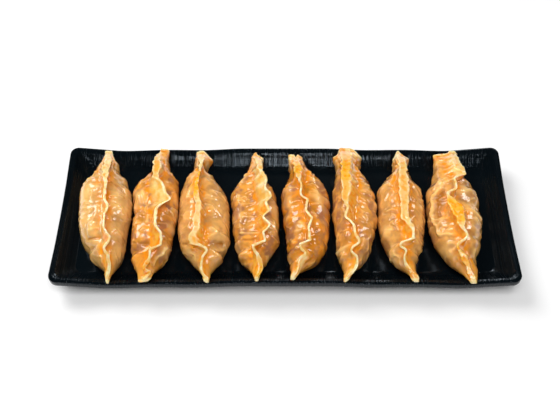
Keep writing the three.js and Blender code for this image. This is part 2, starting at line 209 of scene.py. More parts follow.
# %% The curve
def curve(places, values, at):
    """Reads a smooth curve at many places. The last axis of values runs along the knots."""
    places, values = np.asarray(places, float), np.asarray(values, float)
    at = np.clip(at, places[0], places[-1])
    steps = np.diff(places)
    slopes = np.diff(values) / steps
    before, after = slopes[..., :-1], slopes[..., 1:]
    weight_before, weight_after = 2 * steps[1:] + steps[:-1], steps[1:] + 2 * steps[:-1]
    turning = before * after <= 0
    safe_before, safe_after = np.where(turning, 1, before), np.where(turning, 1, after)
    inner = (weight_before + weight_after) / (weight_before / safe_before + weight_after / safe_after)
    knot_slopes = np.zeros_like(values)
    knot_slopes[..., 1:-1] = np.where(turning, 0, inner)
    i = np.clip(np.searchsorted(places, at, side="right") - 1, 0, len(steps) - 1)
    t = (at - places[i]) / steps[i]
    rise, lean = t * t * (3 - 2 * t), t * (1 - t) * steps[i]
    return (
        values[..., i]
        + (values[..., i + 1] - values[..., i]) * rise
        + lean * ((1 - t) * knot_slopes[..., i] - t * knot_slopes[..., i + 1])
    )


def along(knots, at):
    """The same curve for a list of (place, value) knots."""
    places, values = zip(*knots)
    return curve(places, values, at)


def mix(a, b, share):
    """a where the share is 0, b where it is 1."""
    return a + (b - a) * share


def bell(distance):
    """1 in the middle, fading softly to 0 at a distance of about 2."""
    return np.exp(-distance * distance)


def ramp(value, start, end):
    """0 at start and 1 at end, held beyond them."""
    return np.clip((value - start) / (end - start), 0, 1)


# %% [markdown]
# ## A skin from a sheet
# Both the plate and a dumpling are closed skins. Each one starts as a flat sheet of quads, made with
# `create_grid`, and is wrapped: a table of places says where each row and column goes. Where two edges of
# the sheet come to the same place, or a whole row comes to a point, merging the doubles closes the skin.


# %% Wrap a sheet
MERGE_DISTANCE = 0.002


def wrap(name, places):
    """Wraps a sheet of quads round a table of places in mm, [row, column, xyz], and closes it."""
    rows, columns = places.shape[:2]
    sheet = bmesh.new()
    row, column = sheet.verts.layers.float.new("row"), sheet.verts.layers.float.new("column")
    bmesh.ops.create_grid(sheet, x_segments=columns - 1, y_segments=rows - 1, size=0.5)
    for vertex in sheet.verts:
        vertex[row] = round((vertex.co.y + 0.5) * (rows - 1))
        vertex[column] = round((vertex.co.x + 0.5) * (columns - 1))
    for vertex in sheet.verts:
        vertex.co = places[int(vertex[row]), int(vertex[column])] * MM
    bmesh.ops.remove_doubles(sheet, verts=sheet.verts, dist=MERGE_DISTANCE * MM)
    bmesh.ops.recalc_face_normals(sheet, faces=sheet.faces)
    for face in sheet.faces:
        face.smooth = True
    mesh = bpy.data.meshes.new(name)
    sheet.to_mesh(mesh)
    open_edges = sum(1 for edge in sheet.edges if not edge.is_manifold)
    print(name, "faces", len(sheet.faces), "open edges", open_edges)
    sheet.free()
    piece = bpy.data.objects.new(name, mesh)
    bpy.context.scene.collection.objects.link(piece)
    return piece


def keep_values(piece, name, table):
    """Keeps a table of values, one for each row and column of the sheet, as an attribute of the piece."""
    data = piece.data
    rows = np.zeros(len(data.vertices), np.float32)
    columns = np.zeros(len(data.vertices), np.float32)
    data.attributes["row"].data.foreach_get("value", rows)
    data.attributes["column"].data.foreach_get("value", columns)
    values = table[rows.astype(int), columns.astype(int)].astype(np.float32)
    layer = data.attributes.new(name, "FLOAT", "POINT")
    layer.data.foreach_set("value", np.ascontiguousarray(values))


# %% [markdown]
# ## The plate
# The real plate is pressed from black melamine: a long tray with a thin upright lip, a hollow slope down
# to a flat floor, and a low foot. Its rim dips and rises a little, like hand-made ware. One profile goes
# round a rounded rectangle. Each place of the profile says how far in from the edge it lies, how high it
# is and how much of the rim's wave it takes. The sheet's rows follow the profile, from the middle of the
# underside out over the lip and in to the middle of the floor, and its columns go round the outline.

# %% The plate's sizes
HALF_WIDTH, HALF_DEPTH = [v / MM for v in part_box("plate")[1][:2]]
CORNER_RADIUS = 5.5
FLOOR_TOP = 6.5  # the face that the dumplings lie on
RIM_TOP = 16
LIP_HEIGHT, LIP_THICKNESS = 5.2, 2.4
LIP_FALL = 0.4  # the lip's top falls by this much towards the slope
LIP_EDGE = 0.5  # its level part ends this far before the slope
UNDERSIDE_DROP = 0.8  # the shell meets the lip from this far below it
SLOPE_RUN = 11.6
FOOT_INSET, FOOT_WIDTH, RECESS_DEPTH = 19, 8, 1.5
LONG_RIM_WAVE = [(0, 0), (28, 0), (58, -1.8), (82, -1.5), (112, -2.7), (130, -0.8), (150, 1.2)]
SHORT_RIM_WAVE = [(0, -1.5), (20, -1.2), (54, 1.2)]
# The hollow slope: (share of its run, share of its fall, share of the rim's wave).
SLOPE = [(0, 0, 1), (0.4, 0.47, 0.55), (0.78, 0.88, 0.15), (1, 1, 0)]
LONG_STEPS, SHORT_STEPS, CORNER_STEPS, SLOPE_STEPS, FLOOR_STEPS = 130, 46, 10, 24, 12


# %% The outline and the rim's wave
def outline(inset):
    """The rounded rectangle, drawn in by inset, from the right side round by the back to its start."""
    half_width, half_depth = HALF_WIDTH - inset, HALF_DEPTH - inset
    radius = min(CORNER_RADIUS, half_depth)
    corners = [(1, 1), (-1, 1), (-1, -1), (1, -1)]
    arcs = []
    for turn, (x, y) in enumerate(corners):
        angle = np.radians(90 * turn + np.linspace(0, 90, CORNER_STEPS + 1))
        centre = np.array([x * (half_width - radius), y * (half_depth - radius)])
        arcs.append(centre + radius * np.stack([np.cos(angle), np.sin(angle)], 1))
    loop = []
    for turn, arc in enumerate(arcs):
        steps = (LONG_STEPS, SHORT_STEPS)[turn % 2]
        share = (np.arange(1, steps) / steps)[:, None]
        loop += [arc, mix(arc[-1], arcs[(turn + 1) % 4][0], share)]
    return np.concatenate([*loop, arcs[0][:1]])


def rim_wave(points):
    """How much the rim is raised or lowered beside each place of the outline."""
    x, y = np.abs(points).T
    beside_long = HALF_DEPTH - y < HALF_WIDTH - x
    return np.where(beside_long, along(LONG_RIM_WAVE, x), along(SHORT_RIM_WAVE, y))


def rounded(corners, steps=5):
    """Rounds a bent line. Each corner is (place, radius), and its radius runs along both legs."""
    line = [np.array(corners[0][0], float)]
    for (before, _), (corner, radius), (after, _) in zip(corners, corners[1:], corners[2:]):
        before, corner, after = [np.array(p, float) for p in (before, corner, after)]
        start = corner + radius * (before - corner) / np.linalg.norm((before - corner)[:2])
        end = corner + radius * (after - corner) / np.linalg.norm((after - corner)[:2])
        for t in np.linspace(0, 1, steps):
            line.append(mix(mix(start, corner, t), mix(corner, end, t), t))
    return line + [np.array(corners[-1][0], float)]


# %% The plate's profile and skin
lip_bottom = RIM_TOP - LIP_HEIGHT
foot_inner = FOOT_INSET + FOOT_WIDTH
slope_top = RIM_TOP - LIP_FALL
# The shell's corners, from the underside out: ((inset, height, share of the wave), radius).
shell = rounded(
    [
        ((HALF_DEPTH, RECESS_DEPTH, 0), 0),
        ((foot_inner, RECESS_DEPTH, 0), 0.6),
        ((foot_inner, 0, 0), 0.5),
        ((FOOT_INSET, 0, 0), 0.8),
        ((2 * LIP_THICKNESS, lip_bottom - UNDERSIDE_DROP, 0.8), 1.5),
        ((0, lip_bottom, 1), 0.9),
        ((0, RIM_TOP, 1), 0.8),
        ((LIP_THICKNESS - LIP_EDGE, RIM_TOP, 1), 0.45),
        ((LIP_THICKNESS, slope_top, 1), 0),
    ]
)
run, fall, share = zip(*SLOPE)
at = np.linspace(0, 1, SLOPE_STEPS)
slope = np.stack(
    [
        LIP_THICKNESS + SLOPE_RUN * at,
        mix(slope_top, FLOOR_TOP, curve(run, fall, at)),
        curve(run, share, at),
    ],
    1,
)
floor_insets = np.linspace(LIP_THICKNESS + SLOPE_RUN, HALF_DEPTH, FLOOR_STEPS)[1:]
floor = [(inset, FLOOR_TOP, 0) for inset in floor_insets]
profile = np.concatenate([shell, slope, floor])
wave = rim_wave(outline(0))
plate_places = np.stack(
    [np.column_stack([outline(inset), height + share * wave]) for inset, height, share in profile]
)
plate = wrap("plate_skin", plate_places)

# %% [markdown]
# ## Melamine
# The plate is melamine, a hard resin pressed in a satin mould. Black pigment leaves almost no colour of its
# own, so the eye reads it by soft reflections. The mould has fine lines across the plate's slopes and lip, a
# millimetre or two apart, and weaker ones along them, like coarse cloth. They break the light on the back
# slope into streaks and the bright edge of the lip into dashes. The floor is smooth. A bump carries the
# lines, and their tops are a little rougher than their grooves. The colour itself is one value.

# %% Black pressed melamine
LINE_SPACING = 1.3  # between the pressed lines
LINE_RUN = 60  # a line keeps its place over this many spacings
LINE_DEPTH = 0.3
LINES_FROM, LINES_FULL_AT = 6.6, 9  # heights: the floor is smooth, and the lines grow up the slope
WEFT_COARSENESS, WEFT_SHARE = 0.7, 0.35  # the lines along the plate, against those across it
GROOVE_ROUGHNESS, TOP_ROUGHNESS = 0.22, 0.32
TOPS_FROM, TOPS_FULL = 0.46, 0.6  # values of the noise that count as the tops of the lines

melamine, tree, surface = new_material("black_pressed_melamine")
place = add(tree, "TexCoord").outputs["Object"]
fine = 1 / (LINE_SPACING * MM)
long = fine / LINE_RUN
weft_fine = fine * WEFT_COARSENESS
lines_place = add(tree, "Mapping", {"Vector": place, "Scale": (fine, long, long)})
lines = add(tree, "TexNoise", {"Vector": lines_place.outputs["Vector"], "Scale": 1.0, "Detail": 2.0})
weft_place = add(tree, "Mapping", {"Vector": place, "Scale": (long, weft_fine, weft_fine)})
weft = add(tree, "TexNoise", {"Vector": weft_place.outputs["Vector"], "Scale": 1.0, "Detail": 1.0})
weft_part = add(tree, "Math", {0: weft.outputs["Fac"], 1: WEFT_SHARE}, operation="MULTIPLY")
cloth = add(tree, "Math", {0: lines.outputs["Fac"], 1: weft_part.outputs[0]}, operation="ADD")
height = add(tree, "SeparateXYZ", {"Vector": place}).outputs["Z"]
above_floor = add(
    tree, "MapRange", {"Value": height, "From Min": LINES_FROM * MM, "From Max": LINES_FULL_AT * MM}
).outputs["Result"]
relief = add(tree, "Math", {0: cloth.outputs[0], 1: above_floor}, operation="MULTIPLY")
pressed = add(tree, "Bump", {"Height": relief.outputs[0], "Distance": LINE_DEPTH * MM, "Strength": 1.0})
tops = add(tree, "MapRange", {"Value": lines.outputs["Fac"], "From Min": TOPS_FROM, "From Max": TOPS_FULL})
line_tops = add(tree, "Math", {0: tops.outputs["Result"], 1: above_floor}, operation="MULTIPLY")
satin = add(
    tree, "MapRange", {"Value": line_tops.outputs[0], "To Min": GROOVE_ROUGHNESS, "To Max": TOP_ROUGHNESS}
)
tree.links.new(pressed.outputs["Normal"], surface.inputs["Normal"])
tree.links.new(satin.outputs["Result"], surface.inputs["Roughness"])
surface.inputs["Base Color"].default_value = colour("#070d11")
surface.inputs["IOR"].default_value = 1.5
surface.inputs["Specular IOR Level"].default_value = 0.25
surface.inputs["Specular Tint"].default_value = colour("#dcecfa")

plate.data.materials.append(melamine)
black_pieces.objects.link(plate)
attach(plate, "root")
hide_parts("plate")
print(melamine.name, len(tree.nodes), "nodes")

# %% [markdown]
# ## What a dumpling is
# Each dumpling is a round sheet of wheat dough, folded over a ball of kimchi filling and pressed shut along
# its edge. The pressed edge stands up along the back as a crest, pleated to and fro in front and lying over
# as a broad ribbon behind. Both ends are dough alone: a pinched tip over the front rim and a flat tail flap.
# So a dumpling is drawn as a stack of cross-sections along its length. Each one runs from the middle of
# the underside, round the flank to a shallow trough, and up the crest to its edge.

# %% What all the dumplings share
REST_HEIGHT = FLOOR_TOP + 0.3
OUTLINE_AT = (-48, -36, -24, -12, 0, 12, 23, 32, 44)  # the places along y of each outline value
# Heights over the share of the length, from the front tip to the tail.
UNDERSIDE = [
    (0, 10.8), (0.04, 9), (0.09, 4.8), (0.14, 1.3), (0.19, 0),
    (0.76, 0), (0.83, 2), (0.9, 7), (0.96, 10.5), (1, 11.5),
]  # fmt: skip
CREST_TOP = [
    (0, 14.2), (0.04, 16), (0.09, 19), (0.14, 22.4), (0.19, 25.4), (0.24, 27.5), (0.33, 29.2),
    (0.53, 29.4), (0.63, 28.7), (0.73, 26.8), (0.82, 23.4), (0.92, 18.4), (1, 14.8),
]  # fmt: skip
CREST_BAND = [
    (0, 1.4), (0.05, 2.2), (0.1, 3), (0.2, 4.8), (0.35, 6),
    (0.65, 5.8), (0.78, 4.4), (0.87, 2.6), (0.93, 1.2), (1, 0.7),
]  # fmt: skip
# The flank from the underside up: (share of the half width, share of the body's height).
FLANK = [(0.56, 0), (0.89, 0.14), (1, 0.4), (0.9, 0.64), (0.66, 0.83)]
# The crest from its root up: (share of its lean, share of its height, share of its thickness).
CREST = [(0, 0.02, 1.3), (0.5, 0.5, 1), (0.93, 0.9, 0.95), (1, 1, 0.7)]

# %% [markdown]
# ## Eight recipes
# No two dumplings are alike, so each has its own recipe, read off the real ones. All sizes are in
# millimetres from the dumpling's own middle line, and a side is `LEFT` or `RIGHT` as seen from the front.
#
# - `middle`: where it lies along the plate.
# - `left`, `right`: how far each side stands out, at the places of `OUTLINE_AT`.
# - `crest`: the line of the pressed edge as (y, x, thickness), from the front tip to the tail.
# - `foot_shift`: how far the crest's root stands beside the middle, as (y, x).
# - `stain`: how much the kimchi has coloured it, from 0 to 1.
# - `tip_width`: the front tip's width, as a share of the body's there; `tip_drop`: how far it hangs down.
# - `crest_scale`: how tall the crest is; `ridge`: how far its root is raised on the left.
# - `tip`, `tail`: the outlines of both ends, as (x, y).
# - `pleats`: broad tucks of the flank, as (side, y, depth, reach).
# - `folds`: (side, y, r, y, r, width, height) from one end to the other, where r runs down from the
#   crest's root and a negative height makes a crease.
# - `pale_faces`: (side, y, y), the stretches where that side of the crest shows bare dough.
# - `oily`: (y, y), the stretches of the crest's edge that orange oil has coloured.
# - `oily_flap`: the side whose half of the tail flap is orange.

# %% The recipes, left to right
LEFT, NEITHER, RIGHT = -1, 0, 1
RECIPES = [
    dict(
        middle=-120,
        left=(5.5, -5, -12, -15.5, -17, -18.5, -14.5, -9, -5),
        right=(10.5, 15.5, 17, 17.5, 18, 16, 12, 6, 4.4),
        crest=[
            (-53.4, 8, 3.2), (-46, 9.5, 3), (-41, 9, 2.6), (-37, 6.5, 2.4), (-32, 10, 2.4),
            (-25, 6, 2.4), (-16, 5, 2.4), (-9, 6.5, 2.4), (-3, 3.5, 2.6), (7, 3, 3.2), (23, 0.5, 4.4),
            (34, 0, 4.6), (47, -2.5, 4),
        ],
        foot_shift=[(-30, 0), (-15, 1.5), (0, 1), (20, 0)],
        stain=0.05, tip_width=0.35, tip_drop=3, crest_scale=0.9, ridge=0,
        tip=[(-1, -53.4), (1, -53.4)],
        tail=[(-5, 47), (0, 47), (0.6, 44.5), (4.4, 38)],
        pleats=[(LEFT, -33, 1.8, 2.2), (LEFT, 16, -0.5, 2.4), (RIGHT, 14, -1.5, 2)],
        folds=[
            (LEFT, 11, 2, 7.5, 7.5, 0.9, 0.9), (LEFT, -28.5, 0, -27.5, 10, 1.3, -1),
            (LEFT, -32.5, 0, -31, 11, 1.6, 0.5), (RIGHT, 3, 2.5, 4.5, 11, 0.9, 0.7),
            (RIGHT, -4, 8, -5, 9, 2, 0.8), (LEFT, -1, 2.6, -11, 5, 1.2, 0.6),
            (LEFT, -22, 3, -22.5, 8.5, 1.1, 0.6), (RIGHT, -14, 2.7, -14, 3.5, 1.2, 0.6),
            (LEFT, -41, 1.4, -42, 2, 1.6, 0.6), (RIGHT, 15.5, 2.5, 9.5, 13.5, 1.1, -0.6),
            (LEFT, -17, 11.5, -26, 10.5, 0.8, -0.5), (LEFT, 1, 9, 5.5, 7.5, 1.2, 0.5),
        ],
        pale_faces=[(LEFT, 15, 50), (RIGHT, 15, 50), (RIGHT, -52, -38)],
        oily=[],
        oily_flap=NEITHER,
    ),
    dict(
        middle=-87,
        left=(-7, -12, -13, -13, -13, -15.5, -10.5, -4, -2.7),
        right=(4.4, 11, 14, 15, 15.5, 15.5, 14.5, 8.5, 6.7),
        crest=[
            (-53.4, -1.5, 3.2), (-52, 0.4, 2.8), (-50.4, 2.6, 2.6), (-48.6, -0.2, 3), (-46.8, -1.7, 3.2),
            (-44, 1, 3), (-41, 2, 2.4), (-37.4, 2.3, 2.4), (-35.2, 9.4, 2.4), (-29, 9, 2.4),
            (-22, 5, 2.8), (-12, 4.6, 3.2), (-9, 6, 2.6), (-6, 10, 2.4), (-3, 13, 2.4), (0, 10.5, 2.4),
            (6, 8.6, 2.8), (12, 5, 3), (15, 2, 3.6), (22, 1.8, 4.4), (34, 0.5, 4.6), (49, -0.5, 4),
        ],
        foot_shift=[(-12, 0), (-5, -4), (8, -5), (16, -2), (24, 0)],
        stain=0.8, tip_width=0.7, tip_drop=1.5, crest_scale=1.15, ridge=1,
        tip=[(-6, -53.4), (0, -52.6), (3.4, -51)],
        tail=[(-2.7, 43.5), (0.3, 45.5), (1.2, 49), (6.7, 49)],
        pleats=[(LEFT, -34, 1.6, 2.4), (RIGHT, -20, 1.2, 2.6)],
        folds=[
            (LEFT, 9, 4, -16, 2.5, 1.4, 0.9), (LEFT, -31, 2, -31, 3, 1.6, -1),
            (LEFT, -33, 0, -29, 12.5, 1.2, -0.8), (RIGHT, -31.5, 9.3, -43, 3.3, 1, 0.8),
            (RIGHT, -23, 3.6, -25.5, 8.4, 0.8, 0.6), (LEFT, 6, 2.7, 2, 2.7, 1.3, 0.6),
            (LEFT, -1, 1, -9, 2, 0.9, 0.7), (LEFT, -20.5, 5.5, -21.5, 6.5, 1.3, 0.5),
            (RIGHT, 30, 2.4, 25, 6, 1, 0.7), (RIGHT, 33, 1, 28, 5, 0.9, -0.8),
            (LEFT, -14, 10, -16, 12, 1.2, 0.5), (RIGHT, -48.4, 0.5, -48.2, 3.5, 1, -1.6),
        ],
        pale_faces=[(LEFT, -9, 50), (RIGHT, 17, 50)],
        oily=[(-52, -43)],
        oily_flap=RIGHT,
    ),
    dict(
        middle=-53,
        left=(-1.5, -9.5, -16, -17.5, -17.5, -17, -15, -8.5, -8.3),
        right=(6, 13, 17, 16.5, 16, 13.5, 6, -0.5, 3.5),
        crest=[
            (-53.4, 3.8, 3.4), (-48, 0.2, 2.8), (-42, 1.2, 2.6), (-38.4, 3.8, 2.6), (-36.4, 3, 2.6),
            (-34.8, -4.6, 4), (-30, -5, 4.8), (-26, -3.2, 3.8), (-20, -3, 4.2), (-10, -2.6, 4.4),
            (-3, -3.6, 4.4), (6, -5, 3.4), (18, -4, 2.8), (27, -3.4, 3.2), (47, -4.5, 4),
        ],
        foot_shift=[(-10, 0), (0, -1.5), (14, -2), (24, 0)],
        stain=0.25, tip_width=0.35, tip_drop=1.8, crest_scale=0.95, ridge=0,
        tip=[(-1, -53.4), (1, -53.4)],
        tail=[(-8.3, 47), (-4, 47), (3.5, 40.5)],
        pleats=[
            (RIGHT, -34, 2.4, 2.2), (RIGHT, -39, -1.4, 2.2), (LEFT, -36, 1.2, 2.4),
            (RIGHT, -24, -1, 2.4),
        ],
        folds=[
            (RIGHT, -32.5, 0, -29, 14, 1.2, -1.2), (RIGHT, -28.5, 3, -25, 17, 2, 0.5),
            (RIGHT, -35.5, 4, -31, 15, 0.9, 0.6), (RIGHT, -21.5, 3.6, -24, 7.7, 0.8, 0.7),
            (RIGHT, -24, 7.7, -28.5, 2, 0.8, 0.7), (RIGHT, 1, 2, 1.5, 6, 0.7, 0.6),
            (RIGHT, -3, 1.3, -4.5, 5.3, 0.7, 0.6), (RIGHT, -6, 2.3, -6, 6, 0.7, 0.5),
            (RIGHT, 19, 3.3, 17, 5.3, 1.1, 0.6), (RIGHT, 8, 1, 6, 3, 1, 0.5),
            (LEFT, -9, 8.6, -12, 9.8, 1.4, 0.6), (LEFT, -17.5, 4, -20, 5, 1.4, 0.5),
            (LEFT, -29, 11.5, -32, 2, 1.1, -0.8), (LEFT, 14, 1, 4, 6, 2.2, 0.9),
            (LEFT, 3, 6, 2, 1, 1, 0.6),
        ],
        pale_faces=[(LEFT, -8, 50), (RIGHT, 22, 50)],
        oily=[(-2, 22)],
        oily_flap=RIGHT,
    ),
    dict(
        middle=-20,
        left=(-2, -9, -12.5, -14.5, -15, -16.5, -10, -5, -3),
        right=(4.5, 9.5, 16, 16, 15.5, 14, 8, 4.5, 5.4),
        crest=[
            (-53, 2, 3.8), (-48, 4, 3.8), (-43, 4, 3.2), (-39, 1.6, 2.4), (-35.5, -0.3, 2.4),
            (-33, 7.5, 2.4), (-28, 6.5, 2.4), (-23, 10.6, 2.4), (-17, 6, 2.4), (-12, 10, 2.4),
            (-6, 7.8, 2.4), (-1, 11.2, 2.4), (7, 7, 2.4), (13, 8, 2.8), (21, 4.5, 3.4), (31, 3, 4.2),
            (45.5, 0.7, 4.4),
        ],
        foot_shift=[(-30, 0), (-20, -1), (0, -1.5), (14, -2), (24, 0)],
        stain=0.75, tip_width=0.32, tip_drop=0.6, crest_scale=1.4, ridge=1.1,
        tip=[(-1, -53), (1, -53)],
        tail=[(-3, 43), (0.3, 45.5), (1.6, 43), (5.4, 42)],
        pleats=[(LEFT, -28, -1.4, 1.8), (LEFT, -33, 1.4, 2), (LEFT, -3, -1, 2), (LEFT, 9, 1, 2.2)],
        folds=[
            (LEFT, 0, 10, -22, 10.4, 1.3, 0.45), (LEFT, -2, 6.5, -20, 6.5, 2.2, -0.3),
            (LEFT, 8.5, 5, 9.5, 0.5, 0.9, 0.8), (LEFT, 5, 6.3, 2.5, 4.3, 0.8, 0.7),
            (LEFT, -0.5, 9, -0.5, 3.3, 1, 0.55), (LEFT, -10, 8, -11.5, 2, 1, 0.5),
            (LEFT, -22.5, 11, -24, 1.5, 1.1, 0.8), (LEFT, -27, 10, -28.5, 0, 1.1, -0.9),
            (LEFT, 26, 5, 17, 9, 1, 0.7), (LEFT, -37, 3.3, -39.5, 1, 1.3, 0.5),
            (LEFT, -27.5, 12, -30, 12.5, 1, 0.4), (RIGHT, -12, 3, -10, 6.5, 0.9, 0.6),
            (RIGHT, -12.5, 10, -19, 12.7, 1, 0.6),
        ],
        pale_faces=[(LEFT, -8, 50), (RIGHT, 26, 50)],
        oily=[(-53, -44)],
        oily_flap=LEFT,
    ),
    dict(
        middle=13.5,
        left=(-8, -11, -12.5, -14, -15, -16, -11.5, -10, -11),
        right=(-1.5, 10, 14.5, 15.5, 16.5, 16, 11, 2.5, -1),
        crest=[
            (-52.5, -9, 3.6), (-48, -6, 3.4), (-42, -4.4, 2.6), (-39.6, -0.6, 2.4), (-37.6, -3.6, 2.4),
            (-34.8, -4.2, 2.4), (-32.6, 2, 2.4), (-25, 1.5, 2.4), (-18, 3.4, 2.4), (-12, 0, 2.4),
            (-4, 1, 2.4), (0, -3.5, 2.4), (7, -2.6, 2.4), (14, -4.2, 3), (21, -4.7, 4.4),
            (44.5, -5.5, 4.6),
        ],
        foot_shift=[(-52, 0), (-44, 2.5), (-38, 2.5), (-34, 0)],
        stain=1, tip_width=0.4, tip_drop=0.6, crest_scale=1, ridge=0,
        tip=[(-10, -52), (-7, -52.5)],
        tail=[(-11, 44.5), (-7, 43.5), (-5.8, 41.5), (-4.6, 43.5), (-1, 42.5)],
        pleats=[(LEFT, -25, 1.6, 2.6), (RIGHT, -26, 1.4, 2.6), (RIGHT, 4, -1.2, 2.2)],
        folds=[
            (RIGHT, 20, 1, 18, 5.6, 1.1, 0.8), (RIGHT, -3, 2, -2.5, 6, 0.9, 0.8),
            (RIGHT, -8.5, 3, -12, 5, 1, 0.7), (RIGHT, 26, 1, 23, 2.5, 1, 0.6),
            (LEFT, -17, 4, -22, 1, 1.8, 0.9), (LEFT, -26, 13, -30, 9, 1.1, 0.5),
            (LEFT, -10, 12, -11, 13, 1.6, 0.5), (LEFT, -33, 4.5, -35.5, 3, 1.4, 0.5),
            (RIGHT, -41, 6, -42, 7, 1.5, 0.6), (LEFT, 4, 9, -6, 10, 2.4, 0.6),
            (RIGHT, 6, 7, 0, 8, 2.6, 0.5),
        ],
        pale_faces=[(RIGHT, -50, -33), (LEFT, 30, 50)],
        oily=[(18, 40), (-50, -43)],
        oily_flap=RIGHT,
    ),
    dict(
        middle=46.5,
        left=(-8, -12, -13, -14, -14.5, -14, -12.5, -11, -13),
        right=(-1.5, 5.5, 10.5, 13.5, 14, 13.5, 10, 5, 6.5),
        crest=[
            (-53.4, -8.5, 3.6), (-50, -4.5, 3.4), (-45, -1, 2.8), (-42, -1, 2.6), (-38, -5.4, 2.4),
            (-33, 0.2, 2.4), (-29, -2, 2.8), (-22, -3.7, 2.6), (-16, -8.3, 2.6), (-10, -6.7, 3),
            (-3, -8, 4.6), (4, -6.7, 5), (20, -6.3, 6.2), (36, -4.5, 6.8), (50, -4, 6.4),
        ],
        foot_shift=[(-34, 0), (-28, -1.5), (-22, 0)],
        stain=0.6, tip_width=0.38, tip_drop=1, crest_scale=1, ridge=0,
        tip=[(-9, -53.4), (-6, -52.6)],
        tail=[(-12.6, 43), (-9.2, 45), (-8.2, 49.5), (0.5, 49), (6.5, 43.5)],
        pleats=[
            (RIGHT, -20, -1, 2.2), (RIGHT, -8, -1.2, 2.2), (RIGHT, 1, -1.2, 2.2), (RIGHT, 10, -1.2, 2.2),
            (LEFT, -36, 1.2, 2.4),
        ],
        folds=[
            (RIGHT, 7, 0.5, 7, 4.5, 1, 0.7), (RIGHT, 2, 0.5, 0, 6, 1, 0.8),
            (RIGHT, -5, 1, -9.5, 5.5, 1, 0.8), (RIGHT, -13, 2.5, -15, 6, 1, 0.7),
            (RIGHT, -11, 7.7, -13.6, 9.4, 0.9, 0.6), (RIGHT, -28, 6.4, -36, 1.5, 0.9, 0.7),
            (RIGHT, -23.5, 11, -33, 9.3, 0.8, 0.6), (LEFT, -33, 1, -33, 15, 1.5, 1),
            (LEFT, -29, 2, -28, 14, 2.4, -0.6), (LEFT, 15.5, 3, 9, 4, 0.9, 0.6),
            (LEFT, -5, 4.8, -11, 3, 1.1, 0.6), (RIGHT, 29.5, 0.5, 25.5, 3, 1.3, 0.7),
        ],
        pale_faces=[(LEFT, 24, 50), (RIGHT, 10, 50)],
        oily=[(12, 34)],
        oily_flap=LEFT,
    ),
    dict(
        middle=78,
        left=(-3, -10, -15, -16.5, -16, -15.5, -10, -3.5, -3.3),
        right=(3.5, 8, 11.5, 14, 15, 14, 9, 6, 8),
        crest=[
            (-53, 4.5, 4.2), (-47, -0.7, 3), (-42, -3.3, 2.6), (-38, -2.1, 2.4), (-36, -5.7, 2.4),
            (-33.4, -4.8, 2.4), (-31.8, 2.6, 2.6), (-27, 3, 2.8), (-22, 0.5, 3.6), (-15, -2, 5),
            (-8, -1.4, 5.4), (5, -0.6, 5.6), (20, 0.6, 5.2), (31, 1.6, 5), (47, 2, 5),
        ],
        foot_shift=[(-30, 0), (0, 0)],
        stain=0.4, tip_width=0.6, tip_drop=1.8, crest_scale=0.85, ridge=0,
        tip=[(-2, -52), (4.5, -53)],
        tail=[(-3.3, 41), (0.8, 47), (3, 44), (8, 41.5)],
        pleats=[(LEFT, -24, -1.4, 2), (LEFT, -31, 1.4, 2.2), (LEFT, 14, -1, 2.2), (RIGHT, 14, -1, 2.2)],
        folds=[
            (LEFT, 6.5, 1.7, 0.5, 5, 0.9, 0.7), (LEFT, -7, 8, -7, 3.7, 1.1, 0.8),
            (LEFT, -10, 4.7, -14, 1.6, 0.7, 0.6), (LEFT, -17, 3.7, -23.5, 2.7, 0.8, 0.8),
            (LEFT, -17, 4.8, -15, 1, 0.7, 0.6), (RIGHT, 2, 1, 0, 4, 0.8, 0.8),
            (RIGHT, -15, 1, -13, 3, 0.8, 0.6), (RIGHT, -2.5, 8.6, -4, 9.5, 1.4, 0.7),
            (LEFT, 20.5, 1.6, 12, 3, 0.8, 0.7), (LEFT, -35.5, 7.2, -39, 5, 0.9, 0.6),
            (LEFT, -31, 11.4, -33, 1, 1.4, 0.8), (RIGHT, 14, 2, 6, 8, 1.1, 0.5),
            (LEFT, 8, 7, 3, 9, 1.2, 0.5),
        ],
        pale_faces=[(LEFT, 16, 50), (RIGHT, 24, 50)],
        oily=[(-52, -46)],
        oily_flap=RIGHT,
    ),
    dict(
        middle=113,
        left=(-2.5, -9.5, -16.5, -18, -18.5, -17.5, -13, -10.6, -10),
        right=(8.5, 9.5, 14.5, 16.5, 17, 16.5, 11, 8, 7.3),
        crest=[
            (-53.4, 6, 3.8), (-49, 3.1, 3.6), (-41, -1.5, 3.4), (-36, -4.9, 2.6), (-30, 1.5, 2.6),
            (-24, -1, 4), (-16, -2, 6), (-9, -3, 6.4), (-4, -5.5, 4.6), (1, -8, 3), (6, -1, 2.6),
            (14, -1.4, 2.8), (19.5, 5.9, 3.4), (30, 3.1, 5), (47, 3.4, 5),
        ],
        foot_shift=[(-6, 0), (3, -2), (12, 0)],
        stain=0.4, tip_width=0.38, tip_drop=3, crest_scale=1.05, ridge=1.2,
        tip=[(-1, -53.4), (1, -53.4)],
        tail=[(-10, 44.5), (0, 45), (1.5, 46.8), (4.5, 47), (7.3, 43.5)],
        pleats=[
            (LEFT, -27, -1.4, 1.8), (LEFT, -16, -1.2, 1.8), (LEFT, -34, 1.2, 2), (RIGHT, -9, -1.2, 2.6),
            (RIGHT, -25, 1.2, 2.4),
        ],
        folds=[
            (LEFT, 17, 0, 15, 7, 1.3, 1), (LEFT, 15, 7, 6, 11.5, 1.4, 1.1),
            (LEFT, 6, 11.5, -6, 12, 1.4, 1.1), (LEFT, -6, 12, -24, 11.5, 1.4, 1.1),
            (LEFT, 8, 6.5, -10, 7, 2.4, -1.7), (LEFT, -12, 8.5, -14, 1, 1, 0.9),
            (LEFT, -24, 11.5, -25.5, 3, 1.2, 1.2), (LEFT, -30, 8.5, -32, 1, 1, 0.7),
            (RIGHT, 7, 2, 10, 11, 2, 0.8), (RIGHT, -7, 3, -11, 12.5, 1, 0.9),
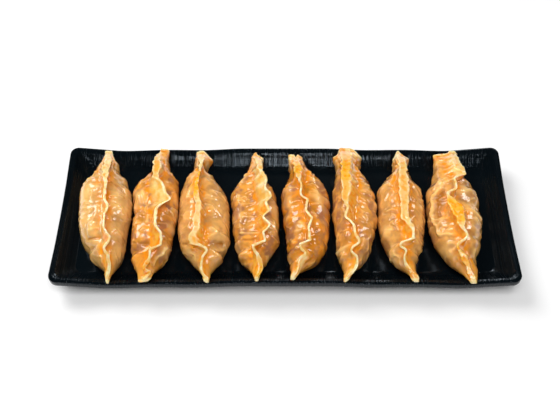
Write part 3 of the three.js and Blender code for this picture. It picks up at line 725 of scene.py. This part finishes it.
            (RIGHT, -12, 7.5, -13, 8.5, 1.6, 0.6), (LEFT, -21, 3.5, -22, 4.5, 1.5, 0.6),
            (LEFT, -34.5, 6.4, -36, 6, 1.3, 0.5), (LEFT, -39, 1, -41, 2, 1.3, 0.5),
            (LEFT, 11, 13.5, 20, 5, 1.1, 0.6),
        ],
        pale_faces=[(LEFT, -2, 50), (RIGHT, 20, 50)],
        oily=[(-53, -34), (-22, -2)],
        oily_flap=LEFT,
    ),
]  # fmt: skip
print("recipes:", len(RECIPES), "folds:", sum(len(recipe["folds"]) for recipe in RECIPES))

# %% [markdown]
# ## The cross-sections
# A cross-section is known by a dozen places on each side. Where the dough is pressed flat, at the tip and
# the tail, it follows the crest; in the middle it follows the outline. The crest is a thin wall that leans
# to wherever its edge runs, so a pleat shows its face first on one side and then on the other.


# %% The rows and columns of a dumpling's sheet
ROWS = 240
END_ROWS = 6  # rows that round off each end
END_ROUND = 1.0
# Where each control place lies round the half girth, and how many columns run up to the next one.
PLACE_AT = (0, 8, 14, 20.5, 27, 32.5, 36, 39, 42, 44, 45, 46.5)
COLUMNS_TO_NEXT = (4, 9, 12, 12, 10, 8, 6, 6, 5, 4, 5)
ROOT_COLUMN = sum(COLUMNS_TO_NEXT[:7])
CORNER_AT, ROOT_AT = PLACE_AT[-2], PLACE_AT[7]
column_at = np.concatenate(
    [np.linspace(a, b, n, endpoint=False) for a, b, n in zip(PLACE_AT, PLACE_AT[1:], COLUMNS_TO_NEXT)]
    + [PLACE_AT[-1:]]
)


def rows_along(recipe):
    """The y of every row, how far it is pushed out past the end, and its share of the full section."""
    front, back = recipe["crest"][0][0], recipe["crest"][-1][0]
    turn = np.linspace(0, math.pi / 2, END_ROWS + 1)[1:]
    still = np.zeros(ROWS)
    y = np.concatenate([np.full(END_ROWS, front), np.linspace(front, back, ROWS), np.full(END_ROWS, back)])
    push = END_ROUND * np.concatenate([-np.sin(turn)[::-1], still, np.sin(turn)])
    size = np.concatenate([np.cos(turn)[::-1], still + 1, np.cos(turn)])
    return y, push, size


# %% The line of the crest
FIVE_STEPS = (-1, -0.5, 0, 0.5, 1)
PLEAT_SPAN = 9  # the pleats are averaged out over this far to each side
PLEAT_SOFTNESS = 0.8  # and their sharp turns over this far
CREST_WAVER = 0.18
RIBBON_SWELL = 0.1  # as a share of the ribbon's width
# Uneven waves: (length, how far it bends, the length of the bend).
WAVER_WAVE, SWELL_WAVE, WANDER_WAVE = (1.1, 2, 2.3), (1.9, 1.7, 3.1), (2.4, 1.8, 4.1)
RIBBON_FROM, RIBBON_FULL = 3, 4.4  # a crest this thick lies over as a ribbon
PLEAT_THINNESS, RIBBON_BREADTH = 0.68, 1.15  # shares of the recipe's thickness


def uneven_wave(y, wave, seed, shift=0):
    """A wave whose own length wanders, so that it never looks regular."""
    length, bend, bend_length = wave
    return np.sin(y / length + bend * np.sin(y / bend_length + seed) + shift)


def crest_line(recipe, y):
    """The crest's x and thickness, and its x with the pleats averaged out."""
    at, x, thickness = zip(*recipe["crest"])
    calm = sum(curve(at, x, y + step * PLEAT_SPAN) for step in FIVE_STEPS) / len(FIVE_STEPS)
    soft = sum(curve(at, x, y + step * PLEAT_SOFTNESS) for step in FIVE_STEPS) / len(FIVE_STEPS)
    waver = CREST_WAVER * uneven_wave(y, WAVER_WAVE, recipe["middle"])
    swell = 1 + RIBBON_SWELL * uneven_wave(y, SWELL_WAVE, recipe["middle"])
    return soft + waver, curve(at, thickness, y) * swell, calm


def ribbon_at(thickness):
    """How far the crest lies over as a broad ribbon: 0 for a standing pleat, 1 for a ribbon."""
    return np.clip((thickness - RIBBON_FROM) / (RIBBON_FULL - RIBBON_FROM), 0, 1)


def thin_at(thickness):
    """A standing pleat is thinner than its solid, a ribbon is as broad."""
    return mix(PLEAT_THINNESS, RIBBON_BREADTH, ribbon_at(thickness))


# %% One side of every cross-section
# Shares of the dumpling's length, measured from the front tip.
TIP_SHARE, DROP_SHARE, TIP_TO_MIDDLE = 0.08, 0.12, 0.12
FRONT_CALM, BACK_CALM = 0.12, 0.16  # the pleats of the flank fade out towards both ends
FLAP_FROM, FLAP_FULL = 0.82, 0.94
FLAP_FLATNESS = 0.6
CREST_FOLLOW, PLEAT_FOLLOW = 0.35, 0.25  # how far the crest's root goes along with its edge
PLEAT_RELIEF = 0.3  # how far the flank goes along with a pleat
PLEAT_FROM, PLEAT_RISE = 0.12, 0.6  # heights on the flank where that starts, and how fast it grows
WIDEST_SLANT = 2.2
WIDEST_CREST = 0.92  # as a share of the body's half width
RIM_WANDER = 0.16  # the crest's thickness varies by this share
RIDGE_REACH = 30
SHOULDER = 0.94  # the trough beside the crest lies at this share of the body's height
TOP_RISE, RIBBON_DISH = 0.15, 0.45  # a pleat's edge is rounded, a ribbon's face is hollow
SAME_ROW_STEP = 1e-6


def flank_fold(recipe, y, side, edge, calm):
    """How far each cross-section's flank is pushed out or in by the pleats above it."""
    fold = side * PLEAT_RELIEF * (edge - calm)
    for pleat_side, at, depth, reach in recipe["pleats"]:
        if pleat_side == side:
            fold = fold - depth * bell((y - at) / reach)
    return fold


def half_sections(recipe, y, side):
    """The control places of one side, as x and z tables with a row for each y."""
    front, back = recipe["crest"][0][0], recipe["crest"][-1][0]
    share = (y - front) / (back - front)
    inside = np.clip(np.minimum(share / FRONT_CALM, (1 - share) / BACK_CALM), 0, 1)
    left, right = curve(OUTLINE_AT, recipe["left"], y), curve(OUTLINE_AT, recipe["right"], y)
    edge, thickness, calm = crest_line(recipe, y)
    middle = mix(recipe["crest"][0][1], (left + right) / 2, ramp(share, 0, TIP_TO_MIDDLE))
    half_width = mix(recipe["tip_width"], 1, ramp(share, 0, TIP_SHARE)) * (right - left) / 2
    drop = recipe["tip_drop"] * np.clip(1 - share / DROP_SHARE, 0, 1)
    bottom, top = along(UNDERSIDE, share) - drop, along(CREST_TOP, share) - drop
    root = top - recipe["crest_scale"] * along(CREST_BAND, share)
    root_x = middle + CREST_FOLLOW * (calm - middle) + PLEAT_FOLLOW * (edge - calm) * inside
    root_x = root_x + along(recipe["foot_shift"], y)
    # A crest that runs aslant is cut wider. The end rows share one y, so a hair keeps their steps apart.
    slant = np.gradient(edge, y + SAME_ROW_STEP * np.arange(len(y)))
    cut = np.clip(np.hypot(1, slant), 1, WIDEST_SLANT)
    wander = 1 + RIM_WANDER * uneven_wave(y, WANDER_WAVE, side, recipe["middle"] + side)
    half_edge = np.minimum(thickness * thin_at(thickness) * cut * wander / 2, half_width * WIDEST_CREST)
    fold = flank_fold(recipe, y, side, edge, calm) * inside
    ridge = recipe["ridge"] * inside * bell(y / RIDGE_REACH) * (side == LEFT)
    flatness = FLAP_FLATNESS * ramp(share, FLAP_FROM, FLAP_FULL)
    x, z = [middle], [bottom]
    for out, up in FLANK:
        pushed = fold * np.clip((up - PLEAT_FROM) / PLEAT_RISE, 0, 1)
        x.append(middle + side * (out ** (1 - flatness) * half_width + pushed))
        z.append(mix(bottom, root, up))
    z[-1] = z[-1] + ridge
    x.append(mix(root_x + side * half_edge * CREST[0][2], x[-1], 0.5))
    z.append(mix(bottom, root, SHOULDER) - ridge)
    for lean, up, thick in CREST:
        x.append(mix(root_x, edge, lean) + side * half_edge * thick)
        z.append(mix(root, top, up))
    x.append(edge)
    z.append(top + TOP_RISE - RIBBON_DISH * ribbon_at(thickness))
    return np.stack(x, 1), np.stack(z, 1)


# %% [markdown]
# ## Folds, lumps and wrinkles
# Wet dough clings to the filling, so cabbage and meat push it out in lumps, and the slack between them lies
# in short creases. The pleats gather it at the crest's root, where the creases run down the flank. Each one
# is a soft stroke on the unrolled flank, where y runs along the dumpling and r down from the crest's root.
# The big ones are placed as on the real dumpling, and a seeded draw adds the small ones.


# %% Strokes, and the folds of the recipes
SHORTEST_STROKE = 0.1


def stroke(y, r, start, end, width, height):
    """A soft ridge from start to end on the flank, or a crease if the height is negative."""
    run = np.subtract(end, start)
    length = max(np.hypot(*run), SHORTEST_STROKE)
    away_y, away_r = y - start[0], r - start[1]
    lengthwise = (away_y * run[0] + away_r * run[1]) / length
    across = (away_r * run[0] - away_y * run[1]) / length
    past_end = np.maximum(np.maximum(-lengthwise, lengthwise - length), 0)
    return height * bell(np.hypot(across, past_end) / width)


def drawn_folds(recipe, side, y, r):
    """The folds of the recipe that lie on this side."""
    relief = np.zeros_like(r)
    for fold_side, y1, r1, y2, r2, width, height in recipe["folds"]:
        if fold_side == side:
            relief += stroke(y, r, (y1, r1), (y2, r2), width, height)
    return relief


# %% Lumps and wrinkles, drawn at random
LUMPS, LUMP_Y, LUMP_R, LUMP_SIZE, LUMP_HEIGHT = 16, (-42, 40), (2, 20), (2.4, 5), 0.1
LUMP_STRETCH = 2
WRINKLES, WRINKLE_Y, WRINKLE_R, WRINKLE_LENGTH = 20, (-44, 42), (1, 15), (2, 7)
WRINKLE_TURN, TURN_SPREAD = 1.57, 0.6  # radians: most wrinkles run down the flank
WRINKLE_WIDTH, WRINKLE_HEIGHTS = (0.5, 0.9), [-0.3, 0.4, 0.4]
# Fine creases run down from the crest's root, and bend as they go.
GATHER_SPACING, GATHER_DEPTH, GATHER_REACH = 4.6, 0.13, 4
GATHER_BEND, BEND_Y, BEND_R = 2.5, 7, 9


def small_relief(y, r, draw):
    """Lumps of filling and wrinkles of slack dough, drawn at random for one side of a dumpling."""
    relief = np.zeros_like(r)
    for _ in range(LUMPS):
        place = (draw.uniform(*LUMP_Y), draw.uniform(*LUMP_R))
        size = draw.uniform(*LUMP_SIZE)
        end = np.add(place, draw.normal(0, LUMP_STRETCH, 2))
        relief += stroke(y, r, place, end, size, LUMP_HEIGHT * size)
    for _ in range(WRINKLES):
        place = (draw.uniform(*WRINKLE_Y), draw.uniform(*WRINKLE_R))
        turn = draw.normal(WRINKLE_TURN, TURN_SPREAD)
        end = np.add(place, draw.uniform(*WRINKLE_LENGTH) * np.array([math.cos(turn), math.sin(turn)]))
        relief += stroke(y, r, place, end, draw.uniform(*WRINKLE_WIDTH), draw.choice(WRINKLE_HEIGHTS))
    bend = GATHER_BEND * np.sin(y / BEND_Y + r / BEND_R)
    gather = np.cos(2 * math.pi * y / GATHER_SPACING + bend)
    return relief + GATHER_DEPTH * gather * np.exp(-np.abs(r) / GATHER_REACH)


# %% Crinkles and unevenness, from noise
CRINKLE_HEIGHT, CRINKLE_WIDTH = 0.35, 0.13
CRINKLE_CELL, CRINKLE_PATCH = (4.5, 12), (12, 9)  # sizes in y and r
PATCH_FROM, PATCH_FULL, PATCH_SEED = 0.05, 0.35, 7
CRINKLE_SEED = 3  # keeps the two sides of a dumpling apart
UNEVEN_DOUGH = [(6.0, 0.22), (2.2, 0.06)]  # (size, height)


def crinkles(y, r, seed):
    """Thin ridges of slack dough that run down the flank, in patches."""
    flat = np.stack([y, r], -1).reshape(-1, 2)
    cells, patches = flat / CRINKLE_CELL, flat / CRINKLE_PATCH
    line = np.array([noise.noise((a, b, seed)) for a, b in cells])
    patch = np.array([noise.noise((a, b, seed + PATCH_SEED)) for a, b in patches])
    ridges = CRINKLE_HEIGHT * bell(line / CRINKLE_WIDTH) * ramp(patch, PATCH_FROM, PATCH_FULL)
    return ridges.reshape(r.shape)


def dough_noise(places):
    """Unevenness of the dough itself, finer than any fold."""
    rows, columns = places.shape[:2]
    flat = places.reshape(-1, 3)
    values = [sum(noise.noise(p / size) * height for size, height in UNEVEN_DOUGH) for p in flat]
    return np.array(values).reshape(rows, columns)


# %% [markdown]
# ## From sections to a skin
# The control places are joined by the same smooth curve, now round the girth. Then each place is pushed out
# or in along the surface's own direction by its folds. The relief fades out where the dough rests on the
# plate and at both ends. The tip and the tail flap are cut to their outlines last. What is worked out here
# about crest, folds and thin dough is kept on the skin, so that the colour can follow it.


# %% One side of the skin
PALE_FADE = 4  # a pale face fades in over this length
OIL_CREEPS, OIL_FULL = 1, 2  # oil creeps this far past its stretch, and is full this far inside it


def outward(places):
    """The direction that points out of the skin, at every place of the table."""
    down_rows, along_columns = np.gradient(places, axis=0), np.gradient(places, axis=1)
    normal = np.cross(down_rows, along_columns)
    length = np.linalg.norm(normal, axis=2, keepdims=True)
    return normal / np.maximum(length, 1e-9)


def build_side(recipe, y, side, draw):
    """One side's places, its distance down from the crest's root, its relief and its pale dough."""
    x, z = half_sections(recipe, y, side)
    x, z = curve(PLACE_AT, x, column_at), curve(PLACE_AT, z, column_at)
    steps = np.hypot(np.diff(x, axis=1, prepend=x[:, :1]), np.diff(z, axis=1, prepend=z[:, :1]))
    run = np.cumsum(steps, 1)
    r = run[:, ROOT_COLUMN : ROOT_COLUMN + 1] - run
    yy = np.broadcast_to(y[:, None], x.shape)
    relief = small_relief(yy, r, draw) + drawn_folds(recipe, side, yy, r)
    relief += crinkles(yy, r, recipe["middle"] + CRINKLE_SEED * side)
    pale = np.zeros_like(r)
    for pale_side, low, high in recipe["pale_faces"]:
        if pale_side == side:
            stretch = ramp(yy, low, low + PALE_FADE) * ramp(yy, high, high - PALE_FADE)
            pale = np.maximum(pale, stretch)
    return np.stack([x, yy, z], 2), r, relief, pale


def oily_rows(recipe, y):
    """The rows whose edge is coloured by oil, with soft ends."""
    oily = np.zeros_like(y)
    for low, high in recipe["oily"]:
        oily = oily + ramp(y, low - OIL_CREEPS, low + OIL_FULL) * ramp(y, high + OIL_CREEPS, high - OIL_FULL)
    return oily[:, None]


# %% Build a dumpling
SEED = 100
RESTING, FREE = 9, 18  # round the girth, the skin rests up to the first place and is free from the second
FLANK_NOISE, CREST_NOISE = 1, 0.2  # the crest is smoother than the flank
# Shares of the length, as (none here, full here). The first two bound the relief, and the next two say how
# far in the outlines of the ends reshape the skin. The others are masks for the colour.
BEHIND_TIP, BEFORE_RIM = (0.02, 0.1), (1, 0.96)
TAIL_CUT, TIP_CUT = (0.9, 1), (0.08, 0)
TAIL_COLOUR, TIP_COLOUR, FLAP_COLOUR = (0.84, 0.95), (0.12, 0.04), (0.88, 0.94)
TAIL_RIM, TIP_RIM = (0.985, 0.995), (0.012, 0.002)
FLANK_STARTS = (-1, 1.5)  # distances down from the crest's root
# The saturated orange by the crest's root is a painted glow of light through thin dough, and partly oil. It
# reaches this far.
PAINTED_GLOW_REACH = 3.5
HOLLOW_STARTS, PALE_STARTS = (-0.2, 0.5), (-2, 2)  # round the girth, from the corner and from the root


def build_dumpling(number, recipe):
    """The whole skin of one dumpling, with the values that its colour follows."""
    y, push, size = rows_along(recipe)
    front, back = recipe["crest"][0][0], recipe["crest"][-1][0]
    share = ((y - front) / (back - front))[:, None]
    draw = np.random.default_rng(SEED + number)
    right, left = [build_side(recipe, y, side, draw) for side in (RIGHT, LEFT)]
    places, r, relief, pale = [np.concatenate([a, b[:, ::-1][:, 1:]], 1) for a, b in zip(right, left)]
    at = np.concatenate([column_at, column_at[::-1][1:]])[None, :]
    side_at = np.where(np.arange(at.size) < len(column_at), RIGHT, LEFT)[None, :]

    free = ramp(at, RESTING, FREE) * ramp(share, *BEHIND_TIP) * ramp(share, *BEFORE_RIM)
    flank = ramp(r, *FLANK_STARTS)
    middle = places.mean(1, keepdims=True)
    places = middle + (places - middle) * size[:, None, None]
    relief = free * (flank * relief + mix(CREST_NOISE, FLANK_NOISE, flank) * dough_noise(places))
    places = places + outward(places) * (relief * size[:, None])[..., None]
    tail_cut = ramp(share, *TAIL_CUT) * (along(recipe["tail"], places[..., 0]) - back)
    places[..., 1] += push[:, None] + tail_cut
    places[..., 1] += ramp(share, *TIP_CUT) * (along(recipe["tip"], places[..., 0]) - front)
    places += np.array([recipe["middle"], 0, REST_HEIGHT])
    piece = wrap(f"dumpling_{number}_skin", places)

    ribbon = ribbon_at(crest_line(recipe, y)[1])[:, None]
    kept = {
        "crest": ramp(at, ROOT_AT, CORNER_AT),
        "hollow": ribbon * ramp(at, *np.add(CORNER_AT, HOLLOW_STARTS)),
        "pale": pale * ramp(at, *np.add(ROOT_AT, PALE_STARTS)),
        # The folds' relief also places painted light: a paler painted highlight on the ridges and painted
        # shade in the creases.
        "fold": relief,
        # Nearness to the crest's root: where the orange painted glow of light through thin dough, partly
        # oil, shows.
        "root": bell(r / PAINTED_GLOW_REACH),
        "tail": ramp(share, *TAIL_COLOUR),
        "tip": ramp(share, *TIP_COLOUR),
        "rim": np.maximum(ramp(share, *TAIL_RIM), ramp(share, *TIP_RIM)),
        "oily": oily_rows(recipe, y),
        "oily_flap": (side_at == recipe["oily_flap"]) * ramp(share, *FLAP_COLOUR),
        "stain": np.full_like(r, recipe["stain"]),
    }
    for name, table in kept.items():
        keep_values(piece, name, np.broadcast_to(table, r.shape))
    return piece


dumplings = [build_dumpling(i + 1, recipe) for i, recipe in enumerate(RECIPES)]

# %% [markdown]
# ## Boiled dough
# Boiled wheat dough is wet and glossy, and light goes a little way into it. Kimchi has stained it orange
# brown, with darker cabbage and meat showing through, while the pressed edge is cream, since there is no
# filling under it. Beside the edge and at the crest's root, where the dough is thin and the stained oil
# gathers, it is painted a saturated orange: partly the oil's own colour, and partly a painted glow of light
# coming through the thin dough. The ridges of the folds are painted paler, partly as stretched dough and
# partly as a painted highlight, and their creases are painted darker, as painted shade. The colour is built
# as a painter would glaze it: a flank, and then thin layers over it, each with a share that says where it
# shows. The shares come from the values kept on the skin and from cloudy noise.

# %% Clouds of noise, and what the skin knows
dough, tree, surface = new_material("boiled_kimchi_dough")
place = add(tree, "TexCoord").outputs["Object"]
KEPT = ("crest", "hollow", "pale", "fold", "root", "tail", "tip", "rim", "oily", "oily_flap", "stain")
CLOUDS = {
    # name: (size in mm, detail)
    # The 6 mm cloud mottles the painted glow by the crest's root, which is partly oil.
    "broad": (9, 3), "filling": (7, 2), "oil_and_painted_glow": (6, 2), "thin_dough": (5, 2), "medium": (4, 2),
    "small": (3, 2), "wet": (2.5, 2), "oil": (2.5, 1), "grain": (1.4, 2),
}  # fmt: skip
kept = {name: add(tree, "Attribute", attribute_name=name).outputs["Fac"] for name in KEPT}
cloud = {}
for name, (size, detail) in CLOUDS.items():
    noise_node = add(tree, "TexNoise", {"Vector": place, "Scale": 1 / (size * MM), "Detail": detail})
    cloud[name] = noise_node.outputs["Fac"]
print("values kept", len(kept), "clouds", len(cloud))

# %% Where each colour shows
FADES = {
    # name: (value, where it is 0, where it is 1)
    "sunlit": (cloud["broad"], 0.4, 0.62),
    "stained": (kept["stain"], 0, 0.6),
    "filling": (cloud["filling"], 0.47, 0.62),
    # Ridges of the folds are painted paler: stretched dough, and partly a painted highlight.
    "ridge": (kept["fold"], 0.25, 1.3),
    # Creases of the folds are painted darker: painted shade.
    "crease": (kept["fold"], -0.1, -0.8),
    # The orange by the crest's root: a painted glow of light through thin dough, and partly oil.
    "oil_and_painted_glow": (cloud["oil_and_painted_glow"], 0.35, 0.6),
    # The crest's walls: oil-stained thin dough, and partly a painted glow of light through it.
    "wall": (cloud["small"], 0.38, 0.62),
    "thin_dough": (cloud["thin_dough"], 0.4, 0.62),
    "edge": (cloud["small"], 0.4, 0.6),
    "hollow_stain": (kept["stain"], 0.1, 0.7),
    "mottle": (cloud["medium"], 0.48, 0.62),
    "oil": (cloud["oil"], 0.3, 0.5),
    "flap": (cloud["medium"], 0.42, 0.58),
    "oily_flap": (cloud["small"], 0.4, 0.62),
    "on_wall": (kept["crest"], 0.05, 0.5),
    "on_edge": (kept["crest"], 0.8, 1.0),
    "rim": (cloud["small"], 0.3, 0.6),
}
fade = {}
for name, (value, start, end) in FADES.items():
    ramp_node = add(tree, "MapRange", {"Value": value, "From Min": start, "From Max": end})
    fade[name] = ramp_node.outputs["Result"]
EDGE_LEFT_ON_TAIL = 0.3  # the cream edge shows this much on the tail flap
off_tail = add(tree, "MapRange", {"Value": kept["tail"], "To Min": 1, "To Max": 0}).outputs["Result"]
edge_off_tail = add(tree, "MapRange", {"Value": kept["tail"], "To Min": 1, "To Max": EDGE_LEFT_ON_TAIL})
BOTH = {
    # name: two shares that are multiplied
    "filling": (fade["stained"], fade["filling"]),
    # Near the crest's root, mottled: the painted glow, partly oil.
    "oil_and_painted_glow": (kept["root"], fade["oil_and_painted_glow"]),
    "oil": (kept["oily"], fade["oil"]),
    # The crest's walls, off the tail: oil-stained dough with a painted glow.
    "wall": (off_tail, fade["on_wall"]),
    "edge": (edge_off_tail.outputs["Result"], fade["on_edge"]),
    "rim": (kept["rim"], fade["rim"]),
}
both = {}
for name, (first, second) in BOTH.items():
    both[name] = add(tree, "Math", {0: first, 1: second}, operation="MULTIPLY").outputs[0]
print("fades", len(fade), "products", len(both))

# %% Layers of colour
BELOW, ABOVE = 6, 7  # the colour inputs of a Mix node; its colour result is output 2
LAYERS = [
    # (result, where it shows, colour or result below, colour or result above)
    ("light", kept["stain"], "#f2bf72", "#f19f32"),
    ("dark", kept["stain"], "#cf9f5e", "#c68126"),
    ("flank", fade["sunlit"], "dark", "light"),
    ("flank", both["filling"], "flank", "#b0784e"),
    # Painted highlight on the ridges of the folds, partly the paler stretched dough.
    ("flank", fade["ridge"], "flank", "#fbc97c"),
    # Painted shade in the creases of the folds.
    ("flank", fade["crease"], "flank", "#b8762c"),
    # Painted glow of light through thin dough by the crest's root, partly oil.
    ("flank", both["oil_and_painted_glow"], "flank", "#fa9a12"),
    # The crest's walls: oil-stained thin dough, partly painted as glowing with light through it.
    ("wall", fade["wall"], "#f58f10", "#f6b545"),
    ("bare", fade["thin_dough"], "#f4b450", "#f9d68a"),
    ("wall", kept["pale"], "wall", "bare"),
    ("edge", fade["edge"], "#fdeabb", "#f9ca7c"),
    ("hollow", fade["hollow_stain"], "#f0d698", "#f7b347"),
    ("hollow", fade["mottle"], "hollow", "#f6ab45"),
    ("edge", kept["hollow"], "edge", "hollow"),
    ("oil", fade["edge"], "#fb9d0a", "#fcbc3c"),
    ("edge", both["oil"], "edge", "oil"),
    ("flap", fade["flap"], "#f0a646", "#fad896"),
    ("oily_flap", fade["oily_flap"], "#ee8c10", "#f6b450"),
    ("flap", kept["oily_flap"], "flap", "oily_flap"),
    ("body", kept["tail"], "flank", "flap"),
    ("body", kept["tip"], "body", "#f0a848"),
    # The crest's walls take their orange, partly a painted glow.
    ("body", both["wall"], "body", "wall"),
    ("body", both["edge"], "body", "edge"),
    ("body", both["rim"], "body", "#fce0a4"),
]
paint = {}
for result, share, below, above in LAYERS:
    below, above = [paint[part] if part in paint else colour(part) for part in (below, above)]
    layer = add(tree, "Mix", {0: share, BELOW: below, ABOVE: above}, data_type="RGBA")
    paint[result] = layer.outputs[2]
tree.links.new(paint["body"], surface.inputs["Base Color"])
print("layers", len(LAYERS))

# %% Wet, boiled and a little see-through
# The film of water is the coat. The dough's roughness under it varies as it dries in places. Light goes a
# few millimetres into boiled dough, red the farthest, which softens every fold.
WET_ROUGHNESS, DRY_ROUGHNESS = 0.14, 0.3
GRAIN_HEIGHT = 0.08
LIGHT_GOES_IN = 3.5

wetness = add(tree, "MapRange", {"Value": cloud["wet"], "To Min": WET_ROUGHNESS, "To Max": DRY_ROUGHNESS})
tree.links.new(wetness.outputs["Result"], surface.inputs["Roughness"])
grain = add(tree, "Bump", {"Height": cloud["grain"], "Distance": GRAIN_HEIGHT * MM, "Strength": 1.0})
tree.links.new(grain.outputs["Normal"], surface.inputs["Normal"])
surface.inputs["Coat Weight"].default_value = 1.0
surface.inputs["Coat Roughness"].default_value = 0.1
surface.inputs["Subsurface Weight"].default_value = 0.5
surface.inputs["Subsurface Radius"].default_value = (0.9, 0.55, 0.2)
surface.inputs["Subsurface Scale"].default_value = LIGHT_GOES_IN * MM
surface.inputs["IOR"].default_value = 1.42
print(dough.name, len(tree.nodes), "nodes")

for i, piece in enumerate(dumplings):
    piece.data.materials.append(dough)
    wet_pieces.objects.link(piece)
    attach(piece, "root")
    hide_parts(f"dumpling_{i + 1}")
